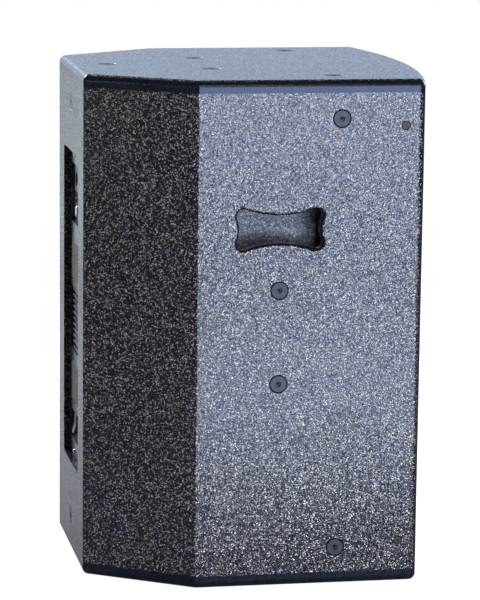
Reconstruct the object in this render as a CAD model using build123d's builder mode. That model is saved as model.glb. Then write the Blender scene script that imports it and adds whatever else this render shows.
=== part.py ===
"""Active two-way loudspeaker cabinet: plywood shell, grille, drivers, ports and rear amplifier.

Millimetres, +Z up, front towards -Y. The origin is the middle of the footprint, at the feet.
"""

import os
from math import cos, hypot, radians, sin, sqrt

from build123d import *

os.makedirs("parts", exist_ok=True)

# ---------------------------------------------------------------- driving dimensions

CAB_H = 600.0           # plywood cabinet, underside to top
CAB_W = 390.0           # across the parallel sides
CAB_D = 412.0           # rear face to the crown of the curved front
REAR_W = 226.0          # rear face, between the chamfer edges
CHAMFER_RUN = 122.0     # chamfer, measured front to back
FRONT_SAG = 24.0        # crown of the front ahead of its corners
PLY = 15.0
REAR_PLY = 21.0
BAFFLE_PLY = 18.0
EDGE_R = 8.0            # roundover along the top and bottom edges
FRONT_R = 9.0           # front vertical corners
CORNER_R = 3.0          # rear and chamfer vertical corners
FOOT_H = 4.0

BAFFLE_SETBACK = 56.0   # crown of the front to the baffle's face
WOOFER_UP = 182.0       # driver centres above the cabinet's underside
HORN_UP = 465.0
PORT_AT = (143.0, 54.0)  # port centre: across, up

HANDLE_AT = (-13.0, 426.5)  # hand-hole centre: front to back, up
HANDLE_DEPTH = 55.0

RECESS_W, RECESS_LOW, RECESS_HIGH = 133.0, 112.0, 496.0
RECESS_R = 8.0
RECESS_FLOOR = 12.0     # depth of the rebate that the amplifier plate sits in
PLATE_T = 4.0

SIDE_RIG = ((-84.0, 555.0), (-13.0, 355.0), (-13.0, 244.0), (-84.0, 45.0))
TOP_RIG = ((0.0, 162.5), (62.5, 46.0), (-62.5, 46.0), (147.0, -84.0), (-147.0, -84.0))
REAR_RIG = (555.0, 44.0)
GRILLE_SCREW_Y = -160.0
GRILLE_SCREW_UP = (50.7, 546.4)

POLE_AT_Y = -5.0
POLE_BORE_R = 17.75
FEET_AT = ((150.0, -140.0), (-150.0, -140.0), (95.0, 165.0), (-95.0, 165.0))

WOOFER_TRAVEL = 6.0     # each way

# ---------------------------------------------------------------- worked-out positions

HALF_W, HALF_D = CAB_W / 2, CAB_D / 2
Z_LOW = FOOT_H
Z_HIGH = FOOT_H + CAB_H
FRONT_RADIUS = (HALF_W**2 + FRONT_SAG**2) / (2 * FRONT_SAG)
FRONT_CENTRE_Y = -HALF_D + FRONT_RADIUS
CHAMFER_ACROSS = HALF_W - REAR_W / 2
CHAMFER_LEN = hypot(CHAMFER_ACROSS, CHAMFER_RUN)
CHAMFER_N = (CHAMFER_RUN / CHAMFER_LEN, CHAMFER_ACROSS / CHAMFER_LEN)
BAFFLE_Y = -HALF_D + BAFFLE_SETBACK
INNER_X = HALF_W - PLY
PLATE_FACE_Y = HALF_D - RECESS_FLOOR + PLATE_T
PLATE_BACK_Y = HALF_D - RECESS_FLOOR


def up(height):
    """Height above the cabinet's underside, in the model's frame."""
    return Z_LOW + height


def side_corner(inset):
    """Corner between the side and the chamfer, with both faces moved inwards."""
    reach = CHAMFER_N[0] * REAR_W / 2 + CHAMFER_N[1] * HALF_D - inset
    x = HALF_W - inset
    return x, (reach - CHAMFER_N[0] * x) / CHAMFER_N[1]


def rear_corner(inset, rear_inset):
    """Corner between the chamfer and the rear, with the faces moved inwards."""
    reach = CHAMFER_N[0] * REAR_W / 2 + CHAMFER_N[1] * HALF_D - inset
    y = HALF_D - rear_inset
    return (reach - CHAMFER_N[1] * y) / CHAMFER_N[0], y


def front_y(x, inset):
    """Where the curved front, moved inwards, stands at a distance across."""
    return FRONT_CENTRE_Y - sqrt((FRONT_RADIUS - inset) ** 2 - x**2)


def mirrored(points):
    """Points followed by their mirror images, in reverse order, to close a symmetric outline."""
    return list(points) + [(-x, y) for x, y in reversed(points)]


def plan(inset=0.0, front_inset=0.0, rounded=False):
    """Plan of the cabinet with its walls moved inwards."""
    right = [(HALF_W - inset, front_y(HALF_W - inset, front_inset))]
    right += [side_corner(inset), rear_corner(inset, inset)]
    outline = mirrored(right)
    with BuildSketch() as shape:
        with BuildLine():
            Polyline(*outline)
            ThreePointArc(outline[-1], (0, front_y(0, front_inset)), outline[0])
        make_face()
        if rounded:
            corners = shape.vertices().sort_by(Axis.Y)
            fillet(corners[:2], FRONT_R)
            fillet(shape.vertices().filter_by(lambda v: v.Y > 0), CORNER_R)
    return shape.sketch


OUTER_PLAN = plan(rounded=True)


def beyond(inner, outer, factor=4.0):
    """A point well outside the cabinet, on the mitre line from an inner to an outer corner."""
    return tuple(a + factor * (b - a) for a, b in zip(inner, outer))


def wall(points):
    """One wall, standing between the top and bottom panels, cut from the plan by a polygon."""
    with BuildPart() as panel:
        with BuildSketch(Plane.XY.offset(Z_LOW + PLY)):
            add(OUTER_PLAN)
            Polygon(*points, align=None, mode=Mode.INTERSECT)
        extrude(amount=CAB_H - 2 * PLY)
    return panel.part


SIDE_IN, SIDE_OUT = side_corner(PLY), side_corner(0)
REAR_IN, REAR_OUT = rear_corner(PLY, REAR_PLY), rear_corner(0, 0)
SIDE_FAR, REAR_FAR = beyond(SIDE_IN, SIDE_OUT), beyond(REAR_IN, REAR_OUT)
AHEAD_Y = -CAB_D        # well in front of the cabinet


def back_section(x, y, z):
    """Plane through an axis that runs front to back: radius across, distance backwards."""
    return Plane(origin=(x, y, z), x_dir=(1, 0, 0), z_dir=(0, 0, 1))


def ring(section, *outline):
    """Closed outline of (radius, distance) points, ready to revolve."""
    with BuildSketch(section) as shape:
        with BuildLine():
            Polyline(*outline, close=True)
        make_face()
    return shape.sketch


def on_rear(y, *spots):
    """Places on a rear-facing plane, given as (across, height above the underside)."""
    return [Location(Plane(origin=(x, y, up(z)), x_dir=(1, 0, 0), z_dir=(0, 1, 0))) for x, z in spots]


def rear_block(x, z, width, height, y_from, y_to, corner=0.0):
    """Block with its sides square to the rear face, centred across and up, between two depths."""
    with BuildPart() as block:
        with BuildSketch(Plane(origin=(x, y_from, up(z)), x_dir=(-1, 0, 0), z_dir=(0, 1, 0))):
            if corner:
                RectangleRounded(width, height, corner)
            else:
                Rectangle(width, height)
        extrude(amount=y_to - y_from)
    return block.part


def rear_rod(x, z, radius, y_from, y_to):
    """Round rod along the front-to-back direction."""
    with BuildPart() as rod:
        with BuildSketch(Plane(origin=(x, y_from, up(z)), x_dir=(-1, 0, 0), z_dir=(0, 1, 0))):
            Circle(radius)
        extrude(amount=y_to - y_from)
    return rod.part


# ---------------------------------------------------------------- fasteners

def countersunk_screw(head_r, shank_r, length, socket, rim):
    """Flat-headed screw with a hexagon socket, its head's face at the origin, pointing down."""
    with BuildPart() as screw:
        with BuildSketch(Plane.XZ):
            with BuildLine():
                Polyline(
                    (0, 0), (head_r, 0), (head_r, -rim), (shank_r, -rim - head_r + shank_r),
                    (shank_r, -length), (0, -length), close=True,
                )
            make_face()
        revolve(axis=Axis.Z)
        with BuildSketch(Plane.XY):
            RegularPolygon(socket / 2, 6, major_radius=False)
        extrude(amount=-socket / 2, mode=Mode.SUBTRACT)
    return screw.part


def cap_screw(head_r, head_h, shank_r, length, socket):
    """Raised-head screw: the head stands above the origin, the shank points down."""
    with BuildPart() as screw:
        Cylinder(head_r, head_h, align=(Align.CENTER, Align.CENTER, Align.MIN))
        Cylinder(shank_r, length, align=(Align.CENTER, Align.CENTER, Align.MAX))
        fillet(screw.faces().sort_by(Axis.Z)[-1].edges(), head_h / 3)
        with BuildSketch(Plane.XY.offset(head_h)):
            RegularPolygon(socket / 2, 6, major_radius=False)
        extrude(amount=-head_h * 0.6, mode=Mode.SUBTRACT)
    return screw.part


RIG_HEAD_R, RIG_SHANK_R, RIG_LEN, RIG_SOCKET, RIG_RIM = 10.0, 5.0, 20.0, 6.0, 0.5
INSERT_R, INSERT_LEN, INSERT_FLANGE_R, INSERT_FLANGE_T = 6.5, 9.0, 13.0, 2.0
INSERT_BORE_R = 5.02
SINK_GAP = 0.6          # gap round a countersunk head
GRILLE_HEAD_R, GRILLE_SHANK_R, GRILLE_LEN, GRILLE_SOCKET, GRILLE_RIM = 4.6, 2.5, 22.0, 3.0, 0.4
WOOD_HEAD_R, WOOD_SHANK_R, WOOD_LEN, WOOD_SOCKET, WOOD_RIM = 4.0, 2.0, 12.0, 2.5, 0.2

RIG_SINK_R = RIG_HEAD_R + RIG_RIM + SINK_GAP
GRILLE_SINK_R = GRILLE_HEAD_R + GRILLE_RIM + SINK_GAP
WOOD_SINK_R = WOOD_HEAD_R + WOOD_RIM + SINK_GAP / 4


def facing(origin, normal):
    """Place on a face, with its normal pointing out of the cabinet."""
    return Location(Plane(origin=origin, z_dir=normal))


RIG_TOP = [facing((x, y, Z_HIGH), (0, 0, 1)) for x, y in TOP_RIG]
RIG_BOTTOM = [facing((x, y, Z_LOW), (0, 0, -1)) for x, y in TOP_RIG]
RIG_RIGHT = [facing((HALF_W, y, up(z)), (1, 0, 0)) for y, z in SIDE_RIG]
RIG_LEFT = [facing((-HALF_W, y, up(z)), (-1, 0, 0)) for y, z in SIDE_RIG]
RIG_REAR = [facing((0, HALF_D, up(z)), (0, 1, 0)) for z in REAR_RIG]
GRILLE_RIGHT = [facing((HALF_W, GRILLE_SCREW_Y, up(z)), (1, 0, 0)) for z in GRILLE_SCREW_UP]
GRILLE_LEFT = [facing((-HALF_W, GRILLE_SCREW_Y, up(z)), (-1, 0, 0)) for z in GRILLE_SCREW_UP]

rig_screw = countersunk_screw(RIG_HEAD_R, RIG_SHANK_R, RIG_LEN, RIG_SOCKET, RIG_RIM)
grille_screw = countersunk_screw(GRILLE_HEAD_R, GRILLE_SHANK_R, GRILLE_LEN, GRILLE_SOCKET, GRILLE_RIM)
wood_screw = countersunk_screw(WOOD_HEAD_R, WOOD_SHANK_R, WOOD_LEN, WOOD_SOCKET, WOOD_RIM)

with BuildPart() as rigging_screws:
    with Locations(*RIG_TOP, *RIG_BOTTOM, *RIG_RIGHT, *RIG_LEFT, *RIG_REAR):
        add(rig_screw)

with BuildPart() as grille_screws:
    with Locations(*GRILLE_RIGHT, *GRILLE_LEFT):
        add(grille_screw)


def flanged_insert(wall_t):
    """Threaded insert pushed in from the inner face of a wall, placed by the wall's outer face."""
    with BuildPart() as insert:
        with BuildSketch(Plane.XY.offset(-wall_t)):
            Circle(INSERT_R)
            Circle(INSERT_BORE_R, mode=Mode.SUBTRACT)
        extrude(amount=INSERT_LEN)
        with BuildSketch(Plane.XY.offset(-wall_t)):
            Circle(INSERT_FLANGE_R)
            Circle(INSERT_BORE_R, mode=Mode.SUBTRACT)
        extrude(amount=-INSERT_FLANGE_T)
    return insert.part


ply_insert = flanged_insert(PLY)
rear_insert = flanged_insert(REAR_PLY)

with BuildPart() as rigging_inserts:
    with Locations(*RIG_TOP, *RIG_BOTTOM, *RIG_RIGHT, *RIG_LEFT):
        add(ply_insert)
    with Locations(*RIG_REAR):
        add(rear_insert)

# ---------------------------------------------------------------- cabinet shell

SOCKET_FLANGE_R, SOCKET_FLANGE_T, SOCKET_TUBE_R, SOCKET_DEPTH = 45.0, 2.5, 20.0, 90.0
SOCKET_SCREW_R, SOCKET_SCREW_COUNT, SOCKET_SCREW_START = 34.0, 4, 45.0
SOCKET_GAP = 0.2
FOOT_R, FOOT_CHAMFER, FOOT_SCREW_SINK = 14.0, 1.5, 0.8
PILOT_TOP = Z_LOW + WOOD_LEN


def end_panel(level, outer_face):
    """Top or bottom panel: the full plan, rounded over along its outer edge."""
    with BuildPart() as panel:
        with BuildSketch(Plane.XY.offset(level)):
            add(OUTER_PLAN)
        extrude(amount=PLY)
        fillet(panel.faces().sort_by(Axis.Z)[outer_face].edges(), EDGE_R)
    return panel.part


with BuildPart() as top_panel:
    add(end_panel(Z_HIGH - PLY, -1))
    with Locations(*RIG_TOP):
        CounterSinkHole(INSERT_R, RIG_SINK_R, depth=PLY, counter_sink_angle=90)

with BuildPart() as bottom_panel:
    add(end_panel(Z_LOW, 0))
    with Locations(*RIG_BOTTOM):
        CounterSinkHole(INSERT_R, RIG_SINK_R, depth=PLY, counter_sink_angle=90)
    with Locations((0, POLE_AT_Y, Z_LOW)):
        Cylinder(SOCKET_FLANGE_R + SOCKET_GAP, SOCKET_FLANGE_T, align=(Align.CENTER, Align.CENTER, Align.MIN),
                 mode=Mode.SUBTRACT)
        Cylinder(SOCKET_TUBE_R + SOCKET_GAP, PLY, align=(Align.CENTER, Align.CENTER, Align.MIN),
                 mode=Mode.SUBTRACT)
    with BuildSketch(Plane.XY.offset(Z_LOW)):
        with Locations(*FEET_AT):
            Circle(WOOD_SHANK_R)
        with Locations((0, POLE_AT_Y)):
            with PolarLocations(SOCKET_SCREW_R, SOCKET_SCREW_COUNT, start_angle=SOCKET_SCREW_START):
                Circle(WOOD_SHANK_R)
    extrude(amount=PILOT_TOP - Z_LOW, mode=Mode.SUBTRACT)

# hand-hole: four lobes joined by hollow arcs that are tangent to them
LOBE_AT, LOBE_R = (43.0, 16.0), 8.0
WAIST = (48.0, 16.5)    # half width and half height at the middle
TOP_ARC_R = ((LOBE_AT[0]) ** 2 + (WAIST[1] - LOBE_AT[1]) ** 2 - LOBE_R**2) / (
    2 * (LOBE_R - WAIST[1] + LOBE_AT[1])
)
SIDE_ARC_R = ((LOBE_AT[1]) ** 2 + (WAIST[0] - LOBE_AT[0]) ** 2 - LOBE_R**2) / (
    2 * (LOBE_R - WAIST[0] + LOBE_AT[0])
)
LIP_R = 4.0             # rounding of the hand-hole's edge


def toward(start, end, distance):
    """The point at a distance from one point towards another."""
    span = hypot(end[0] - start[0], end[1] - start[1])
    return tuple(a + (b - a) * distance / span for a, b in zip(start, end))


def hand_hole(plane):
    """Outline of the hand-hole about a plane's origin: x front to back, y up."""
    top_meet = toward(LOBE_AT, (0, WAIST[1] + TOP_ARC_R), LOBE_R)
    side_meet = toward(LOBE_AT, (WAIST[0] + SIDE_ARC_R, 0), LOBE_R)
    lobe_mid = tuple(c + LOBE_R * sin(radians(45)) for c in LOBE_AT)
    with BuildSketch(plane) as shape:
        with BuildLine():
            for sx in (1, -1):
                for sy in (1, -1):
                    points = [(sx * px, sy * py) for px, py in (side_meet, lobe_mid, top_meet)]
                    ThreePointArc(*points)
            for sign in (1, -1):
                ends = [(side * top_meet[0], sign * top_meet[1]) for side in (1, -1)]
                ThreePointArc(ends[0], (0, sign * WAIST[1]), ends[1])
                ends = [(sign * side_meet[0], side * side_meet[1]) for side in (1, -1)]
                ThreePointArc(ends[0], (sign * WAIST[0], 0), ends[1])
        make_face()
    return shape.sketch


HANDLE_PLANE = Plane(origin=(HALF_W, HANDLE_AT[0], up(HANDLE_AT[1])), x_dir=(0, 1, 0), z_dir=(1, 0, 0))

with BuildPart() as side_panel_right:
    add(wall([SIDE_IN, SIDE_FAR, (SIDE_FAR[0], AHEAD_Y), (INNER_X, AHEAD_Y)]))
    extrude(hand_hole(HANDLE_PLANE), amount=-PLY, mode=Mode.SUBTRACT)
    lip = side_panel_right.faces().sort_by(Axis.X)[-1].inner_wires()[0].edges()
    fillet(lip, LIP_R)
    with Locations(*RIG_RIGHT):
        CounterSinkHole(INSERT_R, RIG_SINK_R, depth=PLY, counter_sink_angle=90)
    with Locations(*GRILLE_RIGHT):
        CounterSinkHole(GRILLE_SHANK_R, GRILLE_SINK_R, depth=PLY, counter_sink_angle=90)

with BuildPart() as side_panel_left:
    mirror(side_panel_right.part, about=Plane.YZ)

with BuildPart() as chamfer_panel_right:
    add(wall([SIDE_IN, SIDE_FAR, REAR_FAR, REAR_IN]))

with BuildPart() as chamfer_panel_left:
    mirror(chamfer_panel_right.part, about=Plane.YZ)

LEDGE_W, LEDGE_LOW, LEDGE_HIGH = 123.0, 126.0, 482.0    # hole behind the plate: width, low and high edge
PLATE_SCREWS = ((24.0, 118.5), (-24.0, 118.5), (24.0, 488.5), (-24.0, 488.5))
PLATE_SCREW_R, PLATE_PILOT = 1.75, 6.0
recess_mid = (RECESS_LOW + RECESS_HIGH) / 2
ledge_mid = (LEDGE_LOW + LEDGE_HIGH) / 2

with BuildPart() as rear_panel:
    add(wall([REAR_IN, REAR_FAR, (-REAR_FAR[0], REAR_FAR[1]), (-REAR_IN[0], REAR_IN[1])]))
    add(
        rear_block(0, recess_mid, RECESS_W, RECESS_HIGH - RECESS_LOW, PLATE_BACK_Y, HALF_D, RECESS_R),
        mode=Mode.SUBTRACT,
    )
    add(
        rear_block(0, ledge_mid, LEDGE_W, LEDGE_HIGH - LEDGE_LOW, HALF_D - REAR_PLY, PLATE_BACK_Y),
        mode=Mode.SUBTRACT,
    )
    with Locations(*RIG_REAR):
        CounterSinkHole(INSERT_R, RIG_SINK_R, depth=REAR_PLY, counter_sink_angle=90)
    with Locations(*on_rear(PLATE_BACK_Y, *PLATE_SCREWS)):
        Hole(PLATE_SCREW_R, depth=PLATE_PILOT)

# hand-hole pocket: a five-sided plywood box glued behind each side panel
POCKET_WALL = 6.0
POCKET_SIZE = (122.0, 68.0)
pocket_outer = (POCKET_SIZE[0] + 2 * POCKET_WALL, POCKET_SIZE[1] + 2 * POCKET_WALL)

with BuildPart() as handle_box_right:
    with BuildSketch(HANDLE_PLANE.offset(-PLY)):
        RectangleRounded(*pocket_outer, POCKET_WALL)
    extrude(amount=-(HANDLE_DEPTH - PLY + POCKET_WALL))
    with BuildSketch(HANDLE_PLANE.offset(-PLY)):
        RectangleRounded(*POCKET_SIZE, POCKET_WALL)
    extrude(amount=-(HANDLE_DEPTH - PLY), mode=Mode.SUBTRACT)

with BuildPart() as handle_box_left:
    mirror(handle_box_right.part, about=Plane.YZ)

# window brace between the sides, above the woofer
BRACE_UP, BRACE_T, BRACE_BACK_Y, BRACE_RIM, BRACE_CORNER_R = 326.0, 12.0, 70.0, 45.0, 25.0
BAFFLE_BACK_Y = BAFFLE_Y + BAFFLE_PLY
brace_mid_y = (BAFFLE_BACK_Y + BRACE_BACK_Y) / 2
brace_size = (2 * INNER_X, BRACE_BACK_Y - BAFFLE_BACK_Y)
brace_window = [size - 2 * BRACE_RIM for size in brace_size]

with BuildPart() as window_brace:
    with BuildSketch(Plane.XY.offset(up(BRACE_UP))):
        with Locations((0, brace_mid_y)):
            Rectangle(*brace_size)
            RectangleRounded(*brace_window, BRACE_CORNER_R, mode=Mode.SUBTRACT)
    extrude(amount=BRACE_T)

# ---------------------------------------------------------------- baffle, grille and foam

WOOFER_CUT_R, WOOFER_FLANGE_R, WOOFER_SCREW_R = 141.0, 155.0, 148.0
WOOFER_SCREW_COUNT, WOOFER_SCREW_START = 8, 22.5
HORN_FLANGE, HORN_MOUTH, HORN_CUT = (300.0, 205.0), (262.0, 168.0), (272.0, 178.0)
HORN_CUT_R, HORN_FLANGE_R, HORN_MOUTH_R = 20.0, 12.0, 24.0      # corner radii
HORN_SCREWS = (140.0, 92.0)     # half spacings
HORN_SCREW_SPOTS = [(sx * HORN_SCREWS[0], sz * HORN_SCREWS[1]) for sx in (1, -1) for sz in (1, -1)]
PORT_R, PORT_WALL, PORT_FLANGE_R, PORT_LEN = 27.0, 2.5, 34.0, 110.0
DRIVER_SCREW_R, DRIVER_SCREW_LEN = 2.5, 16.0
PORT_SPOTS = ((PORT_AT[0], PORT_AT[1]), (-PORT_AT[0], PORT_AT[1]))


def baffle_plane(x, z, ahead=0.0):
    """Plane on the baffle's face, looking forwards, at a place across and up."""
    return Plane(origin=(x, BAFFLE_Y - ahead, up(z)), x_dir=(1, 0, 0), z_dir=(0, -1, 0))


with BuildPart() as front_baffle:
    with BuildSketch(baffle_plane(0, CAB_H / 2)):
        Rectangle(2 * INNER_X, CAB_H - 2 * PLY)
        with Locations((0, WOOFER_UP - CAB_H / 2)):
            Circle(WOOFER_CUT_R, mode=Mode.SUBTRACT)
            with PolarLocations(WOOFER_SCREW_R, WOOFER_SCREW_COUNT, start_angle=WOOFER_SCREW_START):
                Circle(DRIVER_SCREW_R, mode=Mode.SUBTRACT)
        with Locations((0, HORN_UP - CAB_H / 2)):
            RectangleRounded(*HORN_CUT, HORN_CUT_R, mode=Mode.SUBTRACT)
            with Locations(*HORN_SCREW_SPOTS):
                Circle(DRIVER_SCREW_R, mode=Mode.SUBTRACT)
        with Locations(*[(x, z - CAB_H / 2) for x, z in PORT_SPOTS]):
            Circle(PORT_R + PORT_WALL, mode=Mode.SUBTRACT)
    extrude(amount=-BAFFLE_PLY)

GRILLE_T, GRILLE_INSET, GRILLE_SIDE_GAP, GRILLE_END_GAP = 1.5, 3.0, 0.5, 1.0
GRILLE_LEG_Y = -152.0
GRILLE_LIP = 12.0
FOAM_T, FOAM_SIDE_GAP = 5.0, 1.0
NUT_R, NUT_LEN = 5.0, 5.0
GRILLE_LOW, GRILLE_HIGH = Z_LOW + PLY + GRILLE_END_GAP, Z_HIGH - PLY - GRILLE_END_GAP
GRILLE_INNER_X = INNER_X - GRILLE_SIDE_GAP - GRILLE_T


def bow(half_width, front_inset, back_y):
    """Region behind the curved front: as wide as stated, from the curve back to a straight line."""
    corner_y = front_y(half_width, front_inset)
    with BuildSketch() as shape:
        with BuildLine():
            left, right = (-half_width, corner_y), (half_width, corner_y)
            ThreePointArc(left, (0, front_y(0, front_inset)), right)
            Polyline(right, (half_width, back_y), (-half_width, back_y), left)
        make_face()
    return shape.sketch


def crescent(half_width, front_inset, thickness):
    """Curved band of even thickness that follows the front."""
    near, far = front_inset, front_inset + thickness
    outer_y, inner_y = front_y(half_width, near), front_y(half_width, far)
    with BuildSketch() as shape:
        with BuildLine():
            ThreePointArc((-half_width, outer_y), (0, front_y(0, near)), (half_width, outer_y))
            Line((half_width, outer_y), (half_width, inner_y))
            ThreePointArc((half_width, inner_y), (0, front_y(0, far)), (-half_width, inner_y))
            Line((-half_width, inner_y), (-half_width, outer_y))
        make_face()
    return shape.sketch


with BuildPart() as grille:
    with BuildSketch(Plane.XY.offset(GRILLE_LOW)):
        add(bow(GRILLE_INNER_X + GRILLE_T, GRILLE_INSET, GRILLE_LEG_Y))
        add(bow(GRILLE_INNER_X, GRILLE_INSET + GRILLE_T, GRILLE_LEG_Y), mode=Mode.SUBTRACT)
    extrude(amount=GRILLE_HIGH - GRILLE_LOW)
    for level in (GRILLE_LOW, GRILLE_HIGH - GRILLE_T):
        with BuildSketch(Plane.XY.offset(level)):
            add(crescent(GRILLE_INNER_X, GRILLE_INSET + GRILLE_T, GRILLE_LIP))
        extrude(amount=GRILLE_T)
    with Locations(*GRILLE_RIGHT, *GRILLE_LEFT):
        with Locations((0, 0, GRILLE_INNER_X - HALF_W)):
            Cylinder(NUT_R, NUT_LEN, align=(Align.CENTER, Align.CENTER, Align.MAX))
        Hole(GRILLE_SHANK_R, depth=GRILLE_LEN)

with BuildPart() as grille_foam:
    with BuildSketch(Plane.XY.offset(GRILLE_LOW + GRILLE_T)):
        add(crescent(GRILLE_INNER_X - FOAM_SIDE_GAP, GRILLE_INSET + GRILLE_T, FOAM_T))
    extrude(amount=GRILLE_HIGH - GRILLE_LOW - 2 * GRILLE_T)

# ---------------------------------------------------------------- underside

with BuildPart() as pole_socket:
    with Locations((0, POLE_AT_Y, Z_LOW)):
        Cylinder(SOCKET_FLANGE_R, SOCKET_FLANGE_T, align=(Align.CENTER, Align.CENTER, Align.MIN))
        Cylinder(SOCKET_TUBE_R, SOCKET_DEPTH + SOCKET_FLANGE_T, align=(Align.CENTER, Align.CENTER, Align.MIN))
        Cylinder(POLE_BORE_R, SOCKET_DEPTH, align=(Align.CENTER, Align.CENTER, Align.MIN), mode=Mode.SUBTRACT)
    with Locations(facing((0, POLE_AT_Y, Z_LOW), (0, 0, -1))):
        with PolarLocations(SOCKET_SCREW_R, SOCKET_SCREW_COUNT, start_angle=SOCKET_SCREW_START):
            CounterSinkHole(WOOD_SHANK_R, WOOD_SINK_R, depth=SOCKET_FLANGE_T, counter_sink_angle=90)

with BuildPart() as one_foot:
    with BuildSketch(Plane.XZ):
        with BuildLine():
            Polyline(
                (WOOD_SINK_R, 0), (FOOT_R - FOOT_CHAMFER, 0), (FOOT_R, FOOT_CHAMFER), (FOOT_R, FOOT_H),
                (WOOD_SHANK_R, FOOT_H),
                (WOOD_SHANK_R, FOOT_SCREW_SINK + WOOD_SINK_R - WOOD_SHANK_R), (WOOD_SINK_R, FOOT_SCREW_SINK),
                close=True,
            )
        make_face()
    revolve(axis=Axis.Z)

with BuildPart() as rubber_feet:
    with Locations(*[(x, y, 0) for x, y in FEET_AT]):
        add(one_foot.part)

with BuildPart() as underside_screws:
    with Locations(*[facing((x, y, FOOT_SCREW_SINK), (0, 0, -1)) for x, y in FEET_AT]):
        add(wood_screw)
    with Locations(facing((0, POLE_AT_Y, Z_LOW), (0, 0, -1))):
        with PolarLocations(SOCKET_SCREW_R, SOCKET_SCREW_COUNT, start_angle=SOCKET_SCREW_START):
            add(wood_screw)

# ---------------------------------------------------------------- wadding on the chamfers

WADDING_T, WADDING_TRIM, WADDING_END_GAP = 20.0, 0.12, 60.0

with BuildPart() as acoustic_damping:
    near_side, near_rear = side_corner(PLY), rear_corner(PLY, REAR_PLY)
    shares = (WADDING_TRIM, 1 - WADDING_TRIM)
    glued = [tuple(a + share * (b - a) for a, b in zip(near_side, near_rear)) for share in shares]
    free = [tuple(p - WADDING_T * n for p, n in zip(point, CHAMFER_N)) for point in reversed(glued)]
    with BuildSketch(Plane.XY.offset(up(WADDING_END_GAP))):
        Polygon(*glued, *free, align=None)
        mirror(about=Plane.YZ)
    extrude(amount=CAB_H - 2 * WADDING_END_GAP)

# ---------------------------------------------------------------- woofer

WOOFER = back_section(0, BAFFLE_Y, up(WOOFER_UP))
WOOFER_AXIS = Axis((0, BAFFLE_Y, up(WOOFER_UP)), (0, 1, 0))
FLANGE_T = 5.0
CAN_R, CAN_BACK = 138.0, 18.0
CAN_OUTER_R = WOOFER_CUT_R - 0.5
REST_R, REST_BACK = 70.0, 75.0      # basket's rear shelf
SHELF_T = 4.0
SHELL_T = 2.0                       # basket's cone-shaped wall, at the front
SPOKE_WINDOWS, SPOKE_WINDOW_AT = 8, 105.0
SPOKE_WINDOW = (52.0, 44.0, 112.0)  # width, height and base angle of each opening between the spokes
WINDOW_MARGIN = 8.0
TERMINAL_AT, TERMINAL_SIZE = (68.0, 64.0), (18.0, 28.0, 18.0)
TOP_PLATE_T, MAGNET_T, BACK_PLATE_T = 8.0, 20.0, 8.0
COIL_R, GAP = 32.0, 1.0
MAGNET_R, MAGNET_HOLE_R = 78.0, 45.0
STEEL_R = 66.0
gap_front = REST_BACK + SHELF_T
magnet_front = gap_front + TOP_PLATE_T
magnet_back = magnet_front + MAGNET_T
SHELF_HOLE_R = COIL_R + 12.0

with BuildPart() as woofer_basket:
    revolve(
        ring(
            WOOFER,
            (CAN_R, -FLANGE_T), (WOOFER_FLANGE_R, -FLANGE_T), (WOOFER_FLANGE_R, 0), (CAN_OUTER_R, 0),
            (CAN_OUTER_R, CAN_BACK), (REST_R + SHELF_T, REST_BACK), (REST_R + SHELF_T, gap_front),
            (SHELF_HOLE_R, gap_front), (SHELF_HOLE_R, REST_BACK), (REST_R, REST_BACK),
            (CAN_R, CAN_BACK - SHELL_T),
        ),
        axis=WOOFER_AXIS,
    )
    with BuildSketch(baffle_plane(0, WOOFER_UP, -CAN_BACK)):
        with PolarLocations(SPOKE_WINDOW_AT, SPOKE_WINDOWS, start_angle=180 / SPOKE_WINDOWS):
            Trapezoid(*SPOKE_WINDOW, align=(Align.CENTER, Align.CENTER), rotation=90)
    extrude(amount=-(REST_BACK - CAN_BACK - WINDOW_MARGIN), mode=Mode.SUBTRACT)
    with Locations((TERMINAL_AT[0], BAFFLE_Y + TERMINAL_AT[1], up(WOOFER_UP) + TERMINAL_AT[0])):
        Box(*TERMINAL_SIZE)
    with BuildSketch(baffle_plane(0, WOOFER_UP, FLANGE_T)):
        with PolarLocations(WOOFER_SCREW_R, WOOFER_SCREW_COUNT, start_angle=WOOFER_SCREW_START):
            Circle(DRIVER_SCREW_R)
    extrude(amount=-FLANGE_T, mode=Mode.SUBTRACT)

with BuildPart() as woofer_top_plate:
    revolve(
        ring(
            WOOFER, (COIL_R + GAP, gap_front), (STEEL_R, gap_front), (STEEL_R, magnet_front),
            (COIL_R + GAP, magnet_front),
        ),
        axis=WOOFER_AXIS,
    )

with BuildPart() as woofer_magnet:
    revolve(
        ring(
            WOOFER, (MAGNET_HOLE_R, magnet_front), (MAGNET_R, magnet_front), (MAGNET_R, magnet_back),
            (MAGNET_HOLE_R, magnet_back),
        ),
        axis=WOOFER_AXIS,
    )

VENT_R = 10.0
with BuildPart() as woofer_back_plate:
    revolve(
        ring(
            WOOFER, (VENT_R, gap_front), (COIL_R - GAP, gap_front), (COIL_R - GAP, magnet_back),
            (STEEL_R, magnet_back), (STEEL_R, magnet_back + BACK_PLATE_T),
            (VENT_R, magnet_back + BACK_PLATE_T),
        ),
        axis=WOOFER_AXIS,
    )

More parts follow.
